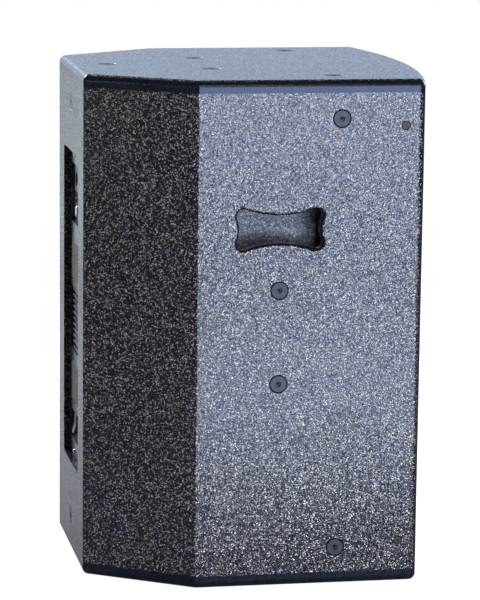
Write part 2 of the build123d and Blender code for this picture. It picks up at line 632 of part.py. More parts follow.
# The cone is straight-sided. Its neck stands on the coil former.
CONE_T, CONE_RIM_R, CONE_RIM_BACK, CONE_NECK_BACK = 1.2, 118.0, 2.0, 58.0
FORMER_T, WIND_T = 0.3, 0.4
NECK_GLUE = 0.4
COIL_CLEARANCE = 3.0    # coil's end to the back plate at full travel
WIND_AHEAD = 4.0        # winding ahead of the gap
FORMER_BACK = magnet_back - WOOFER_TRAVEL - COIL_CLEARANCE
former_r = COIL_R - FORMER_T / 2
wound_r = former_r + FORMER_T + WIND_T
with BuildPart() as woofer_cone:
    revolve(
        ring(
            WOOFER, (former_r + FORMER_T, CONE_NECK_BACK), (CONE_RIM_R, CONE_RIM_BACK),
            (CONE_RIM_R, CONE_RIM_BACK + CONE_T), (former_r + FORMER_T, CONE_NECK_BACK + CONE_T + NECK_GLUE),
        ),
        axis=WOOFER_AXIS,
    )

CAP_RIM_R, CAP_RISE, CAP_T = 52.0, 14.0, 1.0


def dome(origin, rim_r, rise, thickness, forward):
    """Shell of a sphere that rises from a rim at the origin, towards the front (1) or the rear (-1)."""
    sphere_r = (rim_r**2 + rise**2) / (2 * rise)
    with BuildPart() as shell:
        with BuildSketch(back_section(*origin)):
            with Locations((0, forward * (sphere_r - rise))):
                Circle(sphere_r)
                Circle(sphere_r - thickness, mode=Mode.SUBTRACT)
            side = Align.MAX if forward > 0 else Align.MIN
            Rectangle(rim_r, rise, align=(Align.MIN, side), mode=Mode.INTERSECT)
        revolve(axis=Axis(origin, (0, 1, 0)))
    return shell.part


with BuildPart() as woofer_dust_cap:
    cone_slope = (CONE_NECK_BACK - CONE_RIM_BACK) / (CONE_RIM_R - former_r - FORMER_T)
    cap_seat = CONE_RIM_BACK + cone_slope * (CONE_RIM_R - CAP_RIM_R)
    add(dome((0, BAFFLE_Y + cap_seat, up(WOOFER_UP)), CAP_RIM_R, CAP_RISE, CAP_T, 1))

with BuildPart() as woofer_voice_coil:
    revolve(
        ring(
            WOOFER, (former_r, CONE_NECK_BACK), (former_r + FORMER_T, CONE_NECK_BACK),
            (former_r + FORMER_T, gap_front - WIND_AHEAD), (wound_r, gap_front - WIND_AHEAD),
            (wound_r, FORMER_BACK), (former_r, FORMER_BACK),
        ),
        axis=WOOFER_AXIS,
    )

# half-roll edge, and the corrugated disc that centres the coil
ROLL_T, ROLL_HEM, ROLL_FRONT = 1.0, 1.0, 1.0    # thickness, flat hem each side, front face behind the baffle
ROLL_BACK = ROLL_FRONT + ROLL_T
with BuildPart() as woofer_surround:
    roll_mid = (CONE_RIM_R + CAN_R) / 2
    roll_r = (CAN_R - CONE_RIM_R) / 2 - ROLL_HEM
    under_r = roll_r - ROLL_T
    with BuildSketch(WOOFER):
        with BuildLine():
            inner_front, outer_front = (roll_mid - roll_r, ROLL_FRONT), (roll_mid + roll_r, ROLL_FRONT)
            inner_back, outer_back = (roll_mid - under_r, ROLL_BACK), (roll_mid + under_r, ROLL_BACK)
            ThreePointArc(inner_front, (roll_mid, ROLL_FRONT - roll_r), outer_front)
            Polyline(outer_front, (CAN_R, ROLL_FRONT), (CAN_R, ROLL_BACK), outer_back)
            ThreePointArc(outer_back, (roll_mid, ROLL_BACK - roll_r), inner_back)
            Polyline(inner_back, (CONE_RIM_R, ROLL_BACK), (CONE_RIM_R, ROLL_FRONT), inner_front)
        make_face()
    revolve(axis=WOOFER_AXIS)

SPIDER_T, SPIDER_WAVES, SPIDER_RISE, SPIDER_GAP = 0.6, 5, 1.6, 0.1
spider_back = REST_BACK - SPIDER_T
with BuildPart() as woofer_spider:
    inner, outer = former_r + FORMER_T + SPIDER_GAP, REST_R
    step = (outer - inner) / (2 * SPIDER_WAVES)
    crest = [(inner + i * step, spider_back - SPIDER_RISE * (i % 2)) for i in range(2 * SPIDER_WAVES + 1)]
    trough = [(r, back + SPIDER_T) for r, back in reversed(crest)]
    revolve(ring(WOOFER, *crest, *trough), axis=WOOFER_AXIS)

GASKET_T, GASKET_OUTER_R = 2.0, WOOFER_SCREW_R - 5.0
with BuildPart() as woofer_gasket:
    revolve(
        ring(
            WOOFER, (CAN_R, -FLANGE_T - GASKET_T), (GASKET_OUTER_R, -FLANGE_T - GASKET_T),
            (GASKET_OUTER_R, -FLANGE_T), (CAN_R, -FLANGE_T),
        ),
        axis=WOOFER_AXIS,
    )

DRIVER_HEAD_R, DRIVER_HEAD_H, DRIVER_SOCKET = 4.25, 5.0, 4.0
driver_screw = cap_screw(DRIVER_HEAD_R, DRIVER_HEAD_H, DRIVER_SCREW_R, DRIVER_SCREW_LEN, DRIVER_SOCKET)
with BuildPart() as woofer_screws:
    with Locations(Location(baffle_plane(0, WOOFER_UP, FLANGE_T))):
        with PolarLocations(WOOFER_SCREW_R, WOOFER_SCREW_COUNT, start_angle=WOOFER_SCREW_START):
            add(driver_screw)

PORT_MOUTH = 4.0        # flange thickness, and size of the chamfer into the tube
with BuildPart() as port_tubes:
    port_profile = (
        (PORT_R + PORT_MOUTH, -PORT_MOUTH), (PORT_FLANGE_R, -PORT_MOUTH), (PORT_FLANGE_R, 0),
        (PORT_R + PORT_WALL, 0), (PORT_R + PORT_WALL, PORT_LEN), (PORT_R, PORT_LEN), (PORT_R, PORT_MOUTH),
    )
    for x, z in PORT_SPOTS:
        port_end = (x, BAFFLE_Y, up(z))
        revolve(ring(back_section(*port_end), *port_profile), axis=Axis(port_end, (0, 1, 0)))

# ---------------------------------------------------------------- horn and compression driver

HORN_T, THROAT_R, HORN_LEN = 4.0, 12.5, 128.0
HORN_FLANGE_T = 5.0
HORN_MID, HORN_MID_BACK = (104.0, 70.0), 0.55 * HORN_LEN    # flare's size part of the way back
THROAT_EASE = 0.05      # keeps the throat's corner arcs from meeting
COLLAR_R, COLLAR_T = 36.0, 6.0


def flare(grow):
    """Loft from the rectangular mouth to the round throat, grown outwards by a wall thickness."""
    with BuildPart() as shape:
        with BuildSketch(baffle_plane(0, HORN_UP, HORN_FLANGE_T)):
            RectangleRounded(HORN_MOUTH[0] + 2 * grow, HORN_MOUTH[1] + 2 * grow, HORN_MOUTH_R + grow)
        with BuildSketch(baffle_plane(0, HORN_UP, -HORN_MID_BACK)):
            RectangleRounded(HORN_MID[0] + 2 * grow, HORN_MID[1] + 2 * grow, HORN_MOUTH_R + grow)
        with BuildSketch(baffle_plane(0, HORN_UP, -HORN_LEN)):
            RectangleRounded(2 * (THROAT_R + grow), 2 * (THROAT_R + grow), THROAT_R + grow - THROAT_EASE)
        loft()
    return shape.part


with BuildPart() as horn_flare:
    with BuildSketch(baffle_plane(0, HORN_UP)):
        RectangleRounded(*HORN_FLANGE, HORN_FLANGE_R)
        with Locations(*HORN_SCREW_SPOTS):
            Circle(DRIVER_SCREW_R, mode=Mode.SUBTRACT)
    extrude(amount=HORN_FLANGE_T)
    add(flare(HORN_T))
    with BuildSketch(baffle_plane(0, HORN_UP, COLLAR_T - HORN_LEN)):
        Circle(COLLAR_R)
    extrude(amount=-COLLAR_T)
    add(flare(0), mode=Mode.SUBTRACT)

with BuildPart() as horn_screws:
    with Locations(Location(baffle_plane(0, HORN_UP, HORN_FLANGE_T))):
        with Locations(*HORN_SCREW_SPOTS):
            add(driver_screw)

DRIVER = back_section(0, BAFFLE_Y + HORN_LEN, up(HORN_UP))
DRIVER_AXIS = Axis((0, BAFFLE_Y + HORN_LEN, up(HORN_UP)), (0, 1, 0))
DRIVER_R, DRIVER_BODY_LEN, DIAPHRAGM_R = 56.0, 32.0, 22.0
COVER_R, COVER_LEN, COVER_T = 42.0, 18.0, 2.5

NECK_LEN = 5.0
SLOT_GAP, SLOT_DEPTH = 1.0, 6.0         # ring-shaped slot that the diaphragm's coil moves in
POLE_DROP, FLARE_STEP = 1.0, 2.0        # pole's tip below the body's face; throat's growth on the way back

with BuildPart() as driver_body:
    revolve(
        ring(
            DRIVER, (THROAT_R, 0), (COLLAR_R, 0), (COLLAR_R, NECK_LEN), (DRIVER_R, NECK_LEN),
            (DRIVER_R, DRIVER_BODY_LEN), (DIAPHRAGM_R + SLOT_GAP, DRIVER_BODY_LEN),
            (DIAPHRAGM_R + SLOT_GAP, DRIVER_BODY_LEN - SLOT_DEPTH),
            (DIAPHRAGM_R - SLOT_GAP, DRIVER_BODY_LEN - SLOT_DEPTH),
            (DIAPHRAGM_R - SLOT_GAP, DRIVER_BODY_LEN - POLE_DROP),
            (THROAT_R + FLARE_STEP, DRIVER_BODY_LEN - POLE_DROP),
        ),
        axis=DRIVER_AXIS,
    )

SUSPENSION_T, SUSPENSION_IN_R, SUSPENSION_OUT_R = 0.2, DIAPHRAGM_R + 0.6, DIAPHRAGM_R + 6.0
cover_back = DRIVER_BODY_LEN + COVER_LEN
with BuildPart() as driver_cover:
    revolve(
        ring(
            DRIVER, (SUSPENSION_OUT_R, DRIVER_BODY_LEN), (COVER_R, DRIVER_BODY_LEN), (COVER_R, cover_back),
            (0, cover_back), (0, cover_back - COVER_T), (SUSPENSION_OUT_R, cover_back - COVER_T),
        ),
        axis=DRIVER_AXIS,
    )

with BuildPart() as driver_suspension:
    revolve(
        ring(
            DRIVER, (SUSPENSION_IN_R, DRIVER_BODY_LEN), (SUSPENSION_OUT_R, DRIVER_BODY_LEN),
            (SUSPENSION_OUT_R, DRIVER_BODY_LEN + SUSPENSION_T),
            (SUSPENSION_IN_R, DRIVER_BODY_LEN + SUSPENSION_T),
        ),
        axis=DRIVER_AXIS,
    )

DOME_RISE, DOME_T, DRIVER_COIL_T, COIL_DIP = 8.0, 0.4, 0.6, 5.0
with BuildPart() as driver_diaphragm:
    coil_r = DIAPHRAGM_R + DRIVER_COIL_T / 2
    coil_front, rim_back = DRIVER_BODY_LEN - COIL_DIP, DRIVER_BODY_LEN + DOME_T
    revolve(
        ring(
            DRIVER, (coil_r - DRIVER_COIL_T, coil_front), (coil_r, coil_front), (coil_r, rim_back),
            (coil_r - DRIVER_COIL_T, rim_back),
        ),
        axis=DRIVER_AXIS,
    )
    add(dome((0, BAFFLE_Y + HORN_LEN + rim_back, up(HORN_UP)), coil_r, DOME_RISE, DOME_T, -1))

# ---------------------------------------------------------------- amplifier plate and heat sink

PLATE_GAP = 0.7
WINDOW_W = 114.0
INPUT_WINDOW, SINK_WINDOW, MAINS_WINDOW = (403.0, 476.0), (244.0, 323.0), (133.0, 169.0)
LABEL_WINDOWS = ((333.0, 380.0), (181.0, 228.0))
LABEL_DEPTH, LABEL_T, LABEL_GAP = 0.8, 0.6, 0.3
TUNNEL_T = 2.0
SINK_BASE = (168.0, 173.0)      # heat sink's base, front and rear y
PANEL_T = 2.0
PANEL_FACE_Y = PLATE_BACK_Y
PANEL_BACK_Y = PANEL_FACE_Y - PANEL_T


def window(limits, y_from, y_to, grow=0.0, corner=2.0):
    """Block that fills one of the plate's windows between two depths."""
    low, high = limits
    return rear_block(
        0, (low + high) / 2, WINDOW_W + 2 * grow, high - low + 2 * grow, y_from, y_to, corner + grow
    )


with BuildPart() as amp_frame:
    add(
        rear_block(
            0, recess_mid, RECESS_W - 2 * PLATE_GAP, RECESS_HIGH - RECESS_LOW - 2 * PLATE_GAP,
            PLATE_BACK_Y, PLATE_FACE_Y, RECESS_R - PLATE_GAP,
        )
    )
    add(window(SINK_WINDOW, SINK_BASE[1], PLATE_BACK_Y, TUNNEL_T))
    for limits in (INPUT_WINDOW, MAINS_WINDOW):
        add(window(limits, PLATE_BACK_Y, PLATE_FACE_Y), mode=Mode.SUBTRACT)
    add(window(SINK_WINDOW, SINK_BASE[1], PLATE_FACE_Y), mode=Mode.SUBTRACT)
    for limits in LABEL_WINDOWS:
        add(window(limits, PLATE_FACE_Y - LABEL_DEPTH, PLATE_FACE_Y), mode=Mode.SUBTRACT)
    with Locations(*on_rear(PLATE_FACE_Y, *PLATE_SCREWS)):
        Hole(PLATE_SCREW_R, depth=PLATE_T)

with BuildPart() as label_plates:
    for limits in LABEL_WINDOWS:
        add(window(limits, PLATE_FACE_Y - LABEL_DEPTH, PLATE_FACE_Y - LABEL_DEPTH + LABEL_T, -LABEL_GAP))

PLATE_HEAD_R, PLATE_HEAD_H, PLATE_SOCKET = 3.25, 1.6, 2.0
plate_screw = cap_screw(PLATE_HEAD_R, PLATE_HEAD_H, PLATE_SCREW_R, PLATE_T + PLATE_PILOT, PLATE_SOCKET)
with BuildPart() as amp_frame_screws:
    with Locations(*on_rear(PLATE_FACE_Y, *PLATE_SCREWS)):
        add(plate_screw)

FIN_COUNT, FIN_T, FIN_W, FIN_SINK = 11, 1.8, 92.0, 1.0
with BuildPart() as heat_sink:
    add(window(SINK_WINDOW, SINK_BASE[0], SINK_BASE[1], TUNNEL_T))
    fin_pitch = (SINK_WINDOW[1] - SINK_WINDOW[0]) / FIN_COUNT
    for i in range(FIN_COUNT):
        fin_z = SINK_WINDOW[0] + (i + 0.5) * fin_pitch
        add(rear_block(0, fin_z, FIN_W, FIN_T, SINK_BASE[1], PLATE_FACE_Y - FIN_SINK))

BOX_HALF_W, BOX_LOW, BOX_HIGH, BOX_FRONT_Y, BOX_T = 60.5, 127.5, 480.5, 108.0, 1.0
box_mid, box_h = (BOX_LOW + BOX_HIGH) / 2, BOX_HIGH - BOX_LOW
box_floor_y = BOX_FRONT_Y + BOX_T
with BuildPart() as amp_back_box:
    add(rear_block(0, box_mid, 2 * BOX_HALF_W, box_h, BOX_FRONT_Y, PLATE_BACK_Y))
    add(
        rear_block(0, box_mid, 2 * (BOX_HALF_W - BOX_T), box_h - 2 * BOX_T, box_floor_y, PLATE_BACK_Y),
        mode=Mode.SUBTRACT,
    )

BOARD_Y, BOARD_T, BOARD_UP, BOARD_SIZE = 160.0, 1.6, 316.0, (108.0, 156.0)
CAPACITOR_R, CAPACITOR_LEN = 11.0, 32.0
COIL_OUTER_R, COIL_HOLE_R, COIL_LEN = 16.0, 7.0, 18.0
TRANSISTOR_SIZE = (14.0, 18.0)
CAPACITORS = ((-36, 262), (-10, 262), (16, 262), (42, 262), (-36, 290), (-10, 290))
COILS = ((22, 300), (22, 350), (-22, 350))
TRANSISTORS = ((-40, 262), (-20, 262), (0, 262), (20, 262), (40, 262))
with BuildPart() as amp_board:
    add(rear_block(0, BOARD_UP, *BOARD_SIZE, BOARD_Y, BOARD_Y + BOARD_T))
    for x, z in CAPACITORS:
        add(rear_rod(x, z, CAPACITOR_R, BOARD_Y - CAPACITOR_LEN, BOARD_Y))
    for x, z in COILS:
        add(rear_rod(x, z, COIL_OUTER_R, BOARD_Y - COIL_LEN, BOARD_Y))
        add(rear_rod(x, z, COIL_HOLE_R, BOARD_Y - COIL_LEN, BOARD_Y), mode=Mode.SUBTRACT)
    for x, z in TRANSISTORS:
        add(rear_block(x, z, *TRANSISTOR_SIZE, BOARD_Y + BOARD_T, SINK_BASE[0]))

TOROID_UP, TOROID_R, TOROID_HOLE_R, TOROID_T, TOROID_EDGE_R = 183.0, 46.0, 14.0, 38.0, 6.0
with BuildPart() as mains_transformer:
    toroid = back_section(0, box_floor_y, up(TOROID_UP))
    revolve(
        ring(toroid, (TOROID_HOLE_R, 0), (TOROID_R, 0), (TOROID_R, TOROID_T), (TOROID_HOLE_R, TOROID_T)),
        axis=Axis(toroid.origin, (0, 1, 0)),
    )
    fillet(mains_transformer.edges(), TOROID_EDGE_R)

# ---------------------------------------------------------------- input panel

INPUT_PANEL_UP, INPUT_PANEL_SIZE = 439.0, (116.0, 80.0)
JACK_UP, INPUT_X, LINK_X = 458.0, -24.0, 24.0
JACK_FLANGE, JACK_FLANGE_R, JACK_FLANGE_T = (26.0, 31.0), 2.0, 2.0
JACK_BODY_R, JACK_BODY_LEN = 11.8, 18.0
JACK_FRONT_Y = PANEL_FACE_Y + JACK_FLANGE_T
PIN_R = 1.2
THREE_WAYS = (0, 120, 240)      # degrees between a connector's pins

# input: ring-shaped slot round a core with three pin holes and a jack hole in the middle
SLOT_R, CORE_R, JACK_HOLE_R, PIN_HOLES_R = 9.6, 7.7, 3.3, 5.5
SLOT_IN, JACK_HOLE_IN = 10.0, 18.0
# link: plain shell with three pins
SHELL_R, SHELL_IN, PINS_R, PIN_SUNK, PIN_ROOT = 9.3, 15.0, 4.8, 3.0, 0.5

LATCH_SIZE, LATCH_UP, LATCH_GAP, LATCH_CORNER_R = (7.8, 3.2), 12.9, 0.3, 0.6
LATCH_IN, LATCH_OUT, LATCH_HOLE_IN = 1.5, 1.2, 4.0
LATCH_BOX, LATCH_BOX_UP, LATCH_BOX_IN = (11.0, 6.0), 12.0, 6.0

KNOB_X, KNOB_UP = -23.0, 425.5
KNOB_R, KNOB_BASE_Y, KNOB_TIP_Y, KNOB_EDGE_R = 6.5, PANEL_FACE_Y + 2.8, PANEL_FACE_Y + 9.0, 1.0
KNOB_CAP_T = 3.0                # solid end of the knob, beyond the shaft
FLUTES, FLUTE_R, FLUTE_START = 18, 0.6, 1.5
MARK_SIZE, MARK_OUT, MARK_DEPTH = (1.2, 4.4), 3.3, 0.5
SHAFT_R, BUSHING_R, SHAFT_GAP = 3.0, 3.6, 0.05
SHAFT_IN, POT_HOLE_IN, BUSHING_OUT = 7.5, 8.0, 2.3
POT_SIZE, POT_IN, POT_CORNER_R = (17.0, 17.0), 10.0, 1.0
POT_NUT, POT_NUT_T = 5.5, 2.0   # half across the nut's flats, thickness

BUTTON_X, BUTTON_SIZE, BUTTON_GAP, BUTTON_CORNER_R = 6.0, 5.0, 0.4, 0.5
BUTTON_IN, BUTTON_OUT = 3.0, 3.5
SWITCH_SIZE, SWITCH_IN, SWITCH_HOLE_IN = (9.0, 11.0), 12.0, 6.0
LAMP_SPOTS = ((44.0, 416.0), (44.0, 424.0), (44.0, 432.0))
LAMP_R, LAMP_RIM, LAMP_IN, LAMP_OUT, LAMP_EDGE_R = 1.6, 0.5, 3.0, 1.0, 0.9


def jack_shell(x, z):
    """Round connector body with its square flange, and the raised block at the top."""
    with BuildPart() as shell:
        add(rear_rod(x, z, JACK_BODY_R, PANEL_BACK_Y - JACK_BODY_LEN, PANEL_FACE_Y))
        add(rear_block(x, z, *JACK_FLANGE, PANEL_FACE_Y, JACK_FRONT_Y, JACK_FLANGE_R))
        add(rear_block(x, z + LATCH_BOX_UP, *LATCH_BOX, PANEL_BACK_Y - LATCH_BOX_IN, PANEL_FACE_Y))
    return shell.part


def pin_spots(x, z, radius, start):
    """Three places evenly round a connector's middle."""
    turns = [radians(start + way) for way in THREE_WAYS]
    return [(x + radius * cos(turn), z + radius * sin(turn)) for turn in turns]


button_hole = [BUTTON_SIZE + 2 * BUTTON_GAP] * 2

with BuildPart() as input_panel:
    add(rear_block(0, INPUT_PANEL_UP, *INPUT_PANEL_SIZE, PANEL_BACK_Y, PANEL_FACE_Y))
    for x in (INPUT_X, LINK_X):
        add(rear_rod(x, JACK_UP, JACK_BODY_R, PANEL_BACK_Y, PANEL_FACE_Y), mode=Mode.SUBTRACT)
        add(rear_block(x, JACK_UP + LATCH_BOX_UP, *LATCH_BOX, PANEL_BACK_Y, PANEL_FACE_Y), mode=Mode.SUBTRACT)
    add(rear_rod(KNOB_X, KNOB_UP, BUSHING_R, PANEL_BACK_Y, PANEL_FACE_Y), mode=Mode.SUBTRACT)
    add(rear_block(BUTTON_X, KNOB_UP, *button_hole, PANEL_BACK_Y, PANEL_FACE_Y), mode=Mode.SUBTRACT)
    for x, z in LAMP_SPOTS:
        add(rear_rod(x, z, LAMP_R, PANEL_BACK_Y, PANEL_FACE_Y), mode=Mode.SUBTRACT)

latch_hole = [size + 2 * LATCH_GAP for size in LATCH_SIZE]

with BuildPart() as input_jack:
    add(jack_shell(INPUT_X, JACK_UP))
    add(rear_rod(INPUT_X, JACK_UP, SLOT_R, JACK_FRONT_Y - SLOT_IN, JACK_FRONT_Y), mode=Mode.SUBTRACT)
    add(rear_rod(INPUT_X, JACK_UP, CORE_R, JACK_FRONT_Y - SLOT_IN, JACK_FRONT_Y))
    jack_hole_ends = (JACK_FRONT_Y - JACK_HOLE_IN, JACK_FRONT_Y)
    add(rear_rod(INPUT_X, JACK_UP, JACK_HOLE_R, *jack_hole_ends), mode=Mode.SUBTRACT)
    for x, z in pin_spots(INPUT_X, JACK_UP, PIN_HOLES_R, 30):
        add(rear_rod(x, z, PIN_R, JACK_FRONT_Y - SLOT_IN, JACK_FRONT_Y), mode=Mode.SUBTRACT)
    add(
        rear_block(INPUT_X, JACK_UP + LATCH_UP, *latch_hole, PANEL_BACK_Y - LATCH_HOLE_IN, JACK_FRONT_Y),
        mode=Mode.SUBTRACT,
    )

with BuildPart() as input_latch:
    latch_ends = (PANEL_BACK_Y - LATCH_IN, JACK_FRONT_Y + LATCH_OUT)
    add(rear_block(INPUT_X, JACK_UP + LATCH_UP, *LATCH_SIZE, *latch_ends, LATCH_CORNER_R))

with BuildPart() as link_jack:
    add(jack_shell(LINK_X, JACK_UP))
    add(rear_rod(LINK_X, JACK_UP, SHELL_R, JACK_FRONT_Y - SHELL_IN, JACK_FRONT_Y), mode=Mode.SUBTRACT)
    for x, z in pin_spots(LINK_X, JACK_UP, PINS_R, 90):
        add(rear_rod(x, z, PIN_R, JACK_FRONT_Y - SHELL_IN - PIN_ROOT, JACK_FRONT_Y - PIN_SUNK))

with BuildPart() as level_potentiometer:
    add(rear_block(KNOB_X, KNOB_UP, *POT_SIZE, PANEL_BACK_Y - POT_IN, PANEL_BACK_Y, POT_CORNER_R))
    add(rear_rod(KNOB_X, KNOB_UP, BUSHING_R, PANEL_BACK_Y, PANEL_FACE_Y + BUSHING_OUT))
    with BuildSketch(Plane(origin=(KNOB_X, PANEL_FACE_Y, up(KNOB_UP)), x_dir=(-1, 0, 0), z_dir=(0, 1, 0))):
        RegularPolygon(POT_NUT, 6, major_radius=False)
        Circle(BUSHING_R, mode=Mode.SUBTRACT)
    extrude(amount=POT_NUT_T)
    shaft_hole_ends = (PANEL_BACK_Y - POT_HOLE_IN, PANEL_FACE_Y + BUSHING_OUT)
    add(rear_rod(KNOB_X, KNOB_UP, SHAFT_R + SHAFT_GAP, *shaft_hole_ends), mode=Mode.SUBTRACT)

with BuildPart() as level_shaft:
    add(rear_rod(KNOB_X, KNOB_UP, SHAFT_R, PANEL_BACK_Y - SHAFT_IN, KNOB_TIP_Y - KNOB_CAP_T))

with BuildPart() as level_knob:
    add(rear_rod(KNOB_X, KNOB_UP, KNOB_R, KNOB_BASE_Y, KNOB_TIP_Y))
    fillet(level_knob.faces().sort_by(Axis.Y)[-1].edges(), KNOB_EDGE_R)
    for i in range(FLUTES):
        turn = radians(i * 360 / FLUTES)
        flute_x, flute_z = KNOB_X + KNOB_R * cos(turn), KNOB_UP + KNOB_R * sin(turn)
        add(rear_rod(flute_x, flute_z, FLUTE_R, KNOB_BASE_Y + FLUTE_START, KNOB_TIP_Y), mode=Mode.SUBTRACT)
    add(rear_rod(KNOB_X, KNOB_UP, SHAFT_R, KNOB_BASE_Y, KNOB_TIP_Y - KNOB_CAP_T), mode=Mode.SUBTRACT)
    add(
        rear_block(KNOB_X, KNOB_UP + MARK_OUT, *MARK_SIZE, KNOB_TIP_Y - MARK_DEPTH, KNOB_TIP_Y),
        mode=Mode.SUBTRACT,
    )

with BuildPart() as voicing_button:
    button_ends = (PANEL_BACK_Y - BUTTON_IN, PANEL_FACE_Y + BUTTON_OUT)
    add(rear_block(BUTTON_X, KNOB_UP, BUTTON_SIZE, BUTTON_SIZE, *button_ends, BUTTON_CORNER_R))

with BuildPart() as voicing_switch:
    add(rear_block(BUTTON_X, KNOB_UP, *SWITCH_SIZE, PANEL_BACK_Y - SWITCH_IN, PANEL_BACK_Y))
    add(
        rear_block(BUTTON_X, KNOB_UP, *button_hole, PANEL_BACK_Y - SWITCH_HOLE_IN, PANEL_BACK_Y),
        mode=Mode.SUBTRACT,
    )

with BuildPart() as indicator_lights:
    for x, z in LAMP_SPOTS:
        add(rear_rod(x, z, LAMP_R, PANEL_BACK_Y - LAMP_IN, PANEL_FACE_Y + LAMP_OUT))
        add(rear_rod(x, z, LAMP_R + LAMP_RIM, PANEL_BACK_Y - LAMP_IN, PANEL_BACK_Y))
    fillet(indicator_lights.faces().group_by(Axis.Y)[-1].edges(), LAMP_EDGE_R)

# ---------------------------------------------------------------- mains panel

MAINS_UP, MAINS_PANEL_SIZE = 151.0, (116.0, 44.0)
INLET_X, INLET_FLANGE, INLET_BODY, INLET_HOLE = -28.0, (50.0, 25.0), (28.0, 21.0), (24.6, 16.6)
INLET_FLANGE_T, INLET_CORNER_R, INLET_HOLE_IN = 2.0, 3.0, 13.0
INLET_SCREWS, INLET_HEAD_R, INLET_HEAD_H = 20.0, 3.2, 1.2
BLADES, BLADE_SIZE = ((-7.0, -2.0), (7.0, -2.0), (0.0, 4.0)), (2.0, 4.0)
BLADE_ROOT, BLADE_SUNK = 1.0, 3.0
MAINS_BODY_LEN = 18.0
ROCKER_X, ROCKER_FLANGE, ROCKER_BODY, ROCKER_HOLE = 33.0, (22.0, 30.0), (19.0, 28.0), (16.8, 25.6)
ROCKER_FLANGE_T, ROCKER_CORNER_R, ROCKER_HOLE_IN = 1.6, 2.0, 12.0
ROCKER_PIN_R, PIN_END_GAP, ROCKER_W = 1.5, 0.2, 16.0
ROCKER_TILT = 8.0
ROCKER_PIVOT_Y = PANEL_FACE_Y - 4.0
# rocker's outline from its pivot: (out of the panel, up); its face is slightly hollow
ROCKER_HALF, ROCKER_ROOT_HALF = 11.2, 6.0
ROCKER_ROOT, ROCKER_SHOULDER, ROCKER_TIP, ROCKER_WAIST = -4.0, 5.0, 7.8, 6.6

with BuildPart() as mains_panel:
    add(rear_block(0, MAINS_UP, *MAINS_PANEL_SIZE, PANEL_BACK_Y, PANEL_FACE_Y))
    add(rear_block(INLET_X, MAINS_UP, *INLET_BODY, PANEL_BACK_Y, PANEL_FACE_Y), mode=Mode.SUBTRACT)
    add(rear_block(ROCKER_X, MAINS_UP, *ROCKER_BODY, PANEL_BACK_Y, PANEL_FACE_Y), mode=Mode.SUBTRACT)

inlet_face_y = PANEL_FACE_Y + INLET_FLANGE_T
inlet_hole_y = PANEL_BACK_Y - INLET_HOLE_IN

with BuildPart() as mains_inlet:
    add(rear_block(INLET_X, MAINS_UP, *INLET_FLANGE, PANEL_FACE_Y, inlet_face_y, INLET_CORNER_R))
    add(rear_block(INLET_X, MAINS_UP, *INLET_BODY, PANEL_BACK_Y - MAINS_BODY_LEN, PANEL_FACE_Y))
    add(
        rear_block(INLET_X, MAINS_UP, *INLET_HOLE, inlet_hole_y, inlet_face_y, INLET_CORNER_R),
        mode=Mode.SUBTRACT,
    )
    for x, z in BLADES:
        blade_ends = (inlet_hole_y - BLADE_ROOT, PANEL_FACE_Y - BLADE_SUNK)
        add(rear_block(INLET_X + x, MAINS_UP + z, *BLADE_SIZE, *blade_ends))
    for sign in (1, -1):
        screw_x = INLET_X + sign * INLET_SCREWS
        add(rear_rod(screw_x, MAINS_UP, INLET_HEAD_R, inlet_face_y, inlet_face_y + INLET_HEAD_H))

rocker_face_y = PANEL_FACE_Y + ROCKER_FLANGE_T
rocker_pivot = (ROCKER_X, ROCKER_PIVOT_Y, up(MAINS_UP))

with BuildPart() as rocker_housing:
    add(rear_block(ROCKER_X, MAINS_UP, *ROCKER_FLANGE, PANEL_FACE_Y, rocker_face_y, ROCKER_CORNER_R))
    add(rear_block(ROCKER_X, MAINS_UP, *ROCKER_BODY, PANEL_BACK_Y - MAINS_BODY_LEN, PANEL_FACE_Y))
    add(
        rear_block(ROCKER_X, MAINS_UP, *ROCKER_HOLE, PANEL_BACK_Y - ROCKER_HOLE_IN, rocker_face_y),
        mode=Mode.SUBTRACT,
    )
    with Locations(Location(Plane(origin=rocker_pivot, z_dir=(1, 0, 0)))):
        Cylinder(ROCKER_PIN_R + SHAFT_GAP, ROCKER_BODY[0], mode=Mode.SUBTRACT)

rocker_side = Plane(rocker_pivot, x_dir=(0, 1, 0), z_dir=(1, 0, 0))

with BuildPart() as power_rocker:
    with BuildSketch(rocker_side):
        with BuildLine():
            Polyline(
                (ROCKER_ROOT, -ROCKER_ROOT_HALF), (ROCKER_SHOULDER, -ROCKER_HALF), (ROCKER_TIP, -ROCKER_HALF),
                (ROCKER_WAIST, 0), (ROCKER_TIP, ROCKER_HALF), (ROCKER_SHOULDER, ROCKER_HALF),
                (ROCKER_ROOT, ROCKER_ROOT_HALF), close=True,
            )
        make_face()
    extrude(amount=ROCKER_W / 2, both=True)
    with Locations(Location(Plane(origin=rocker_pivot, z_dir=(1, 0, 0)))):
        Cylinder(ROCKER_PIN_R, ROCKER_BODY[0] - 2 * PIN_END_GAP)
power_rocker.part = power_rocker.part.rotate(Axis(rocker_pivot, (1, 0, 0)), ROCKER_TILT)

# ---------------------------------------------------------------- internal leads

LEAD_R, WOOFER_LEAD_BEND_R, HORN_LEAD_BEND_R = 2.5, 30.0, 14.0
terminal_end_y = BAFFLE_Y + TERMINAL_AT[1] + TERMINAL_SIZE[1] / 2
# routes, as (across, y, height above the underside)
WOOFER_LEAD = (
    (TERMINAL_AT[0], terminal_end_y, WOOFER_UP + TERMINAL_AT[0]),
    (TERMINAL_AT[0], 0, WOOFER_UP + TERMINAL_AT[0]),
    (40, 60, 270), (40, BOX_FRONT_Y, 270),
)
HORN_LEAD = (
    (0, BAFFLE_Y + HORN_LEN + cover_back, HORN_UP), (0, 58, HORN_UP), (22, 82, 450), (22, BOX_FRONT_Y, 450),
)


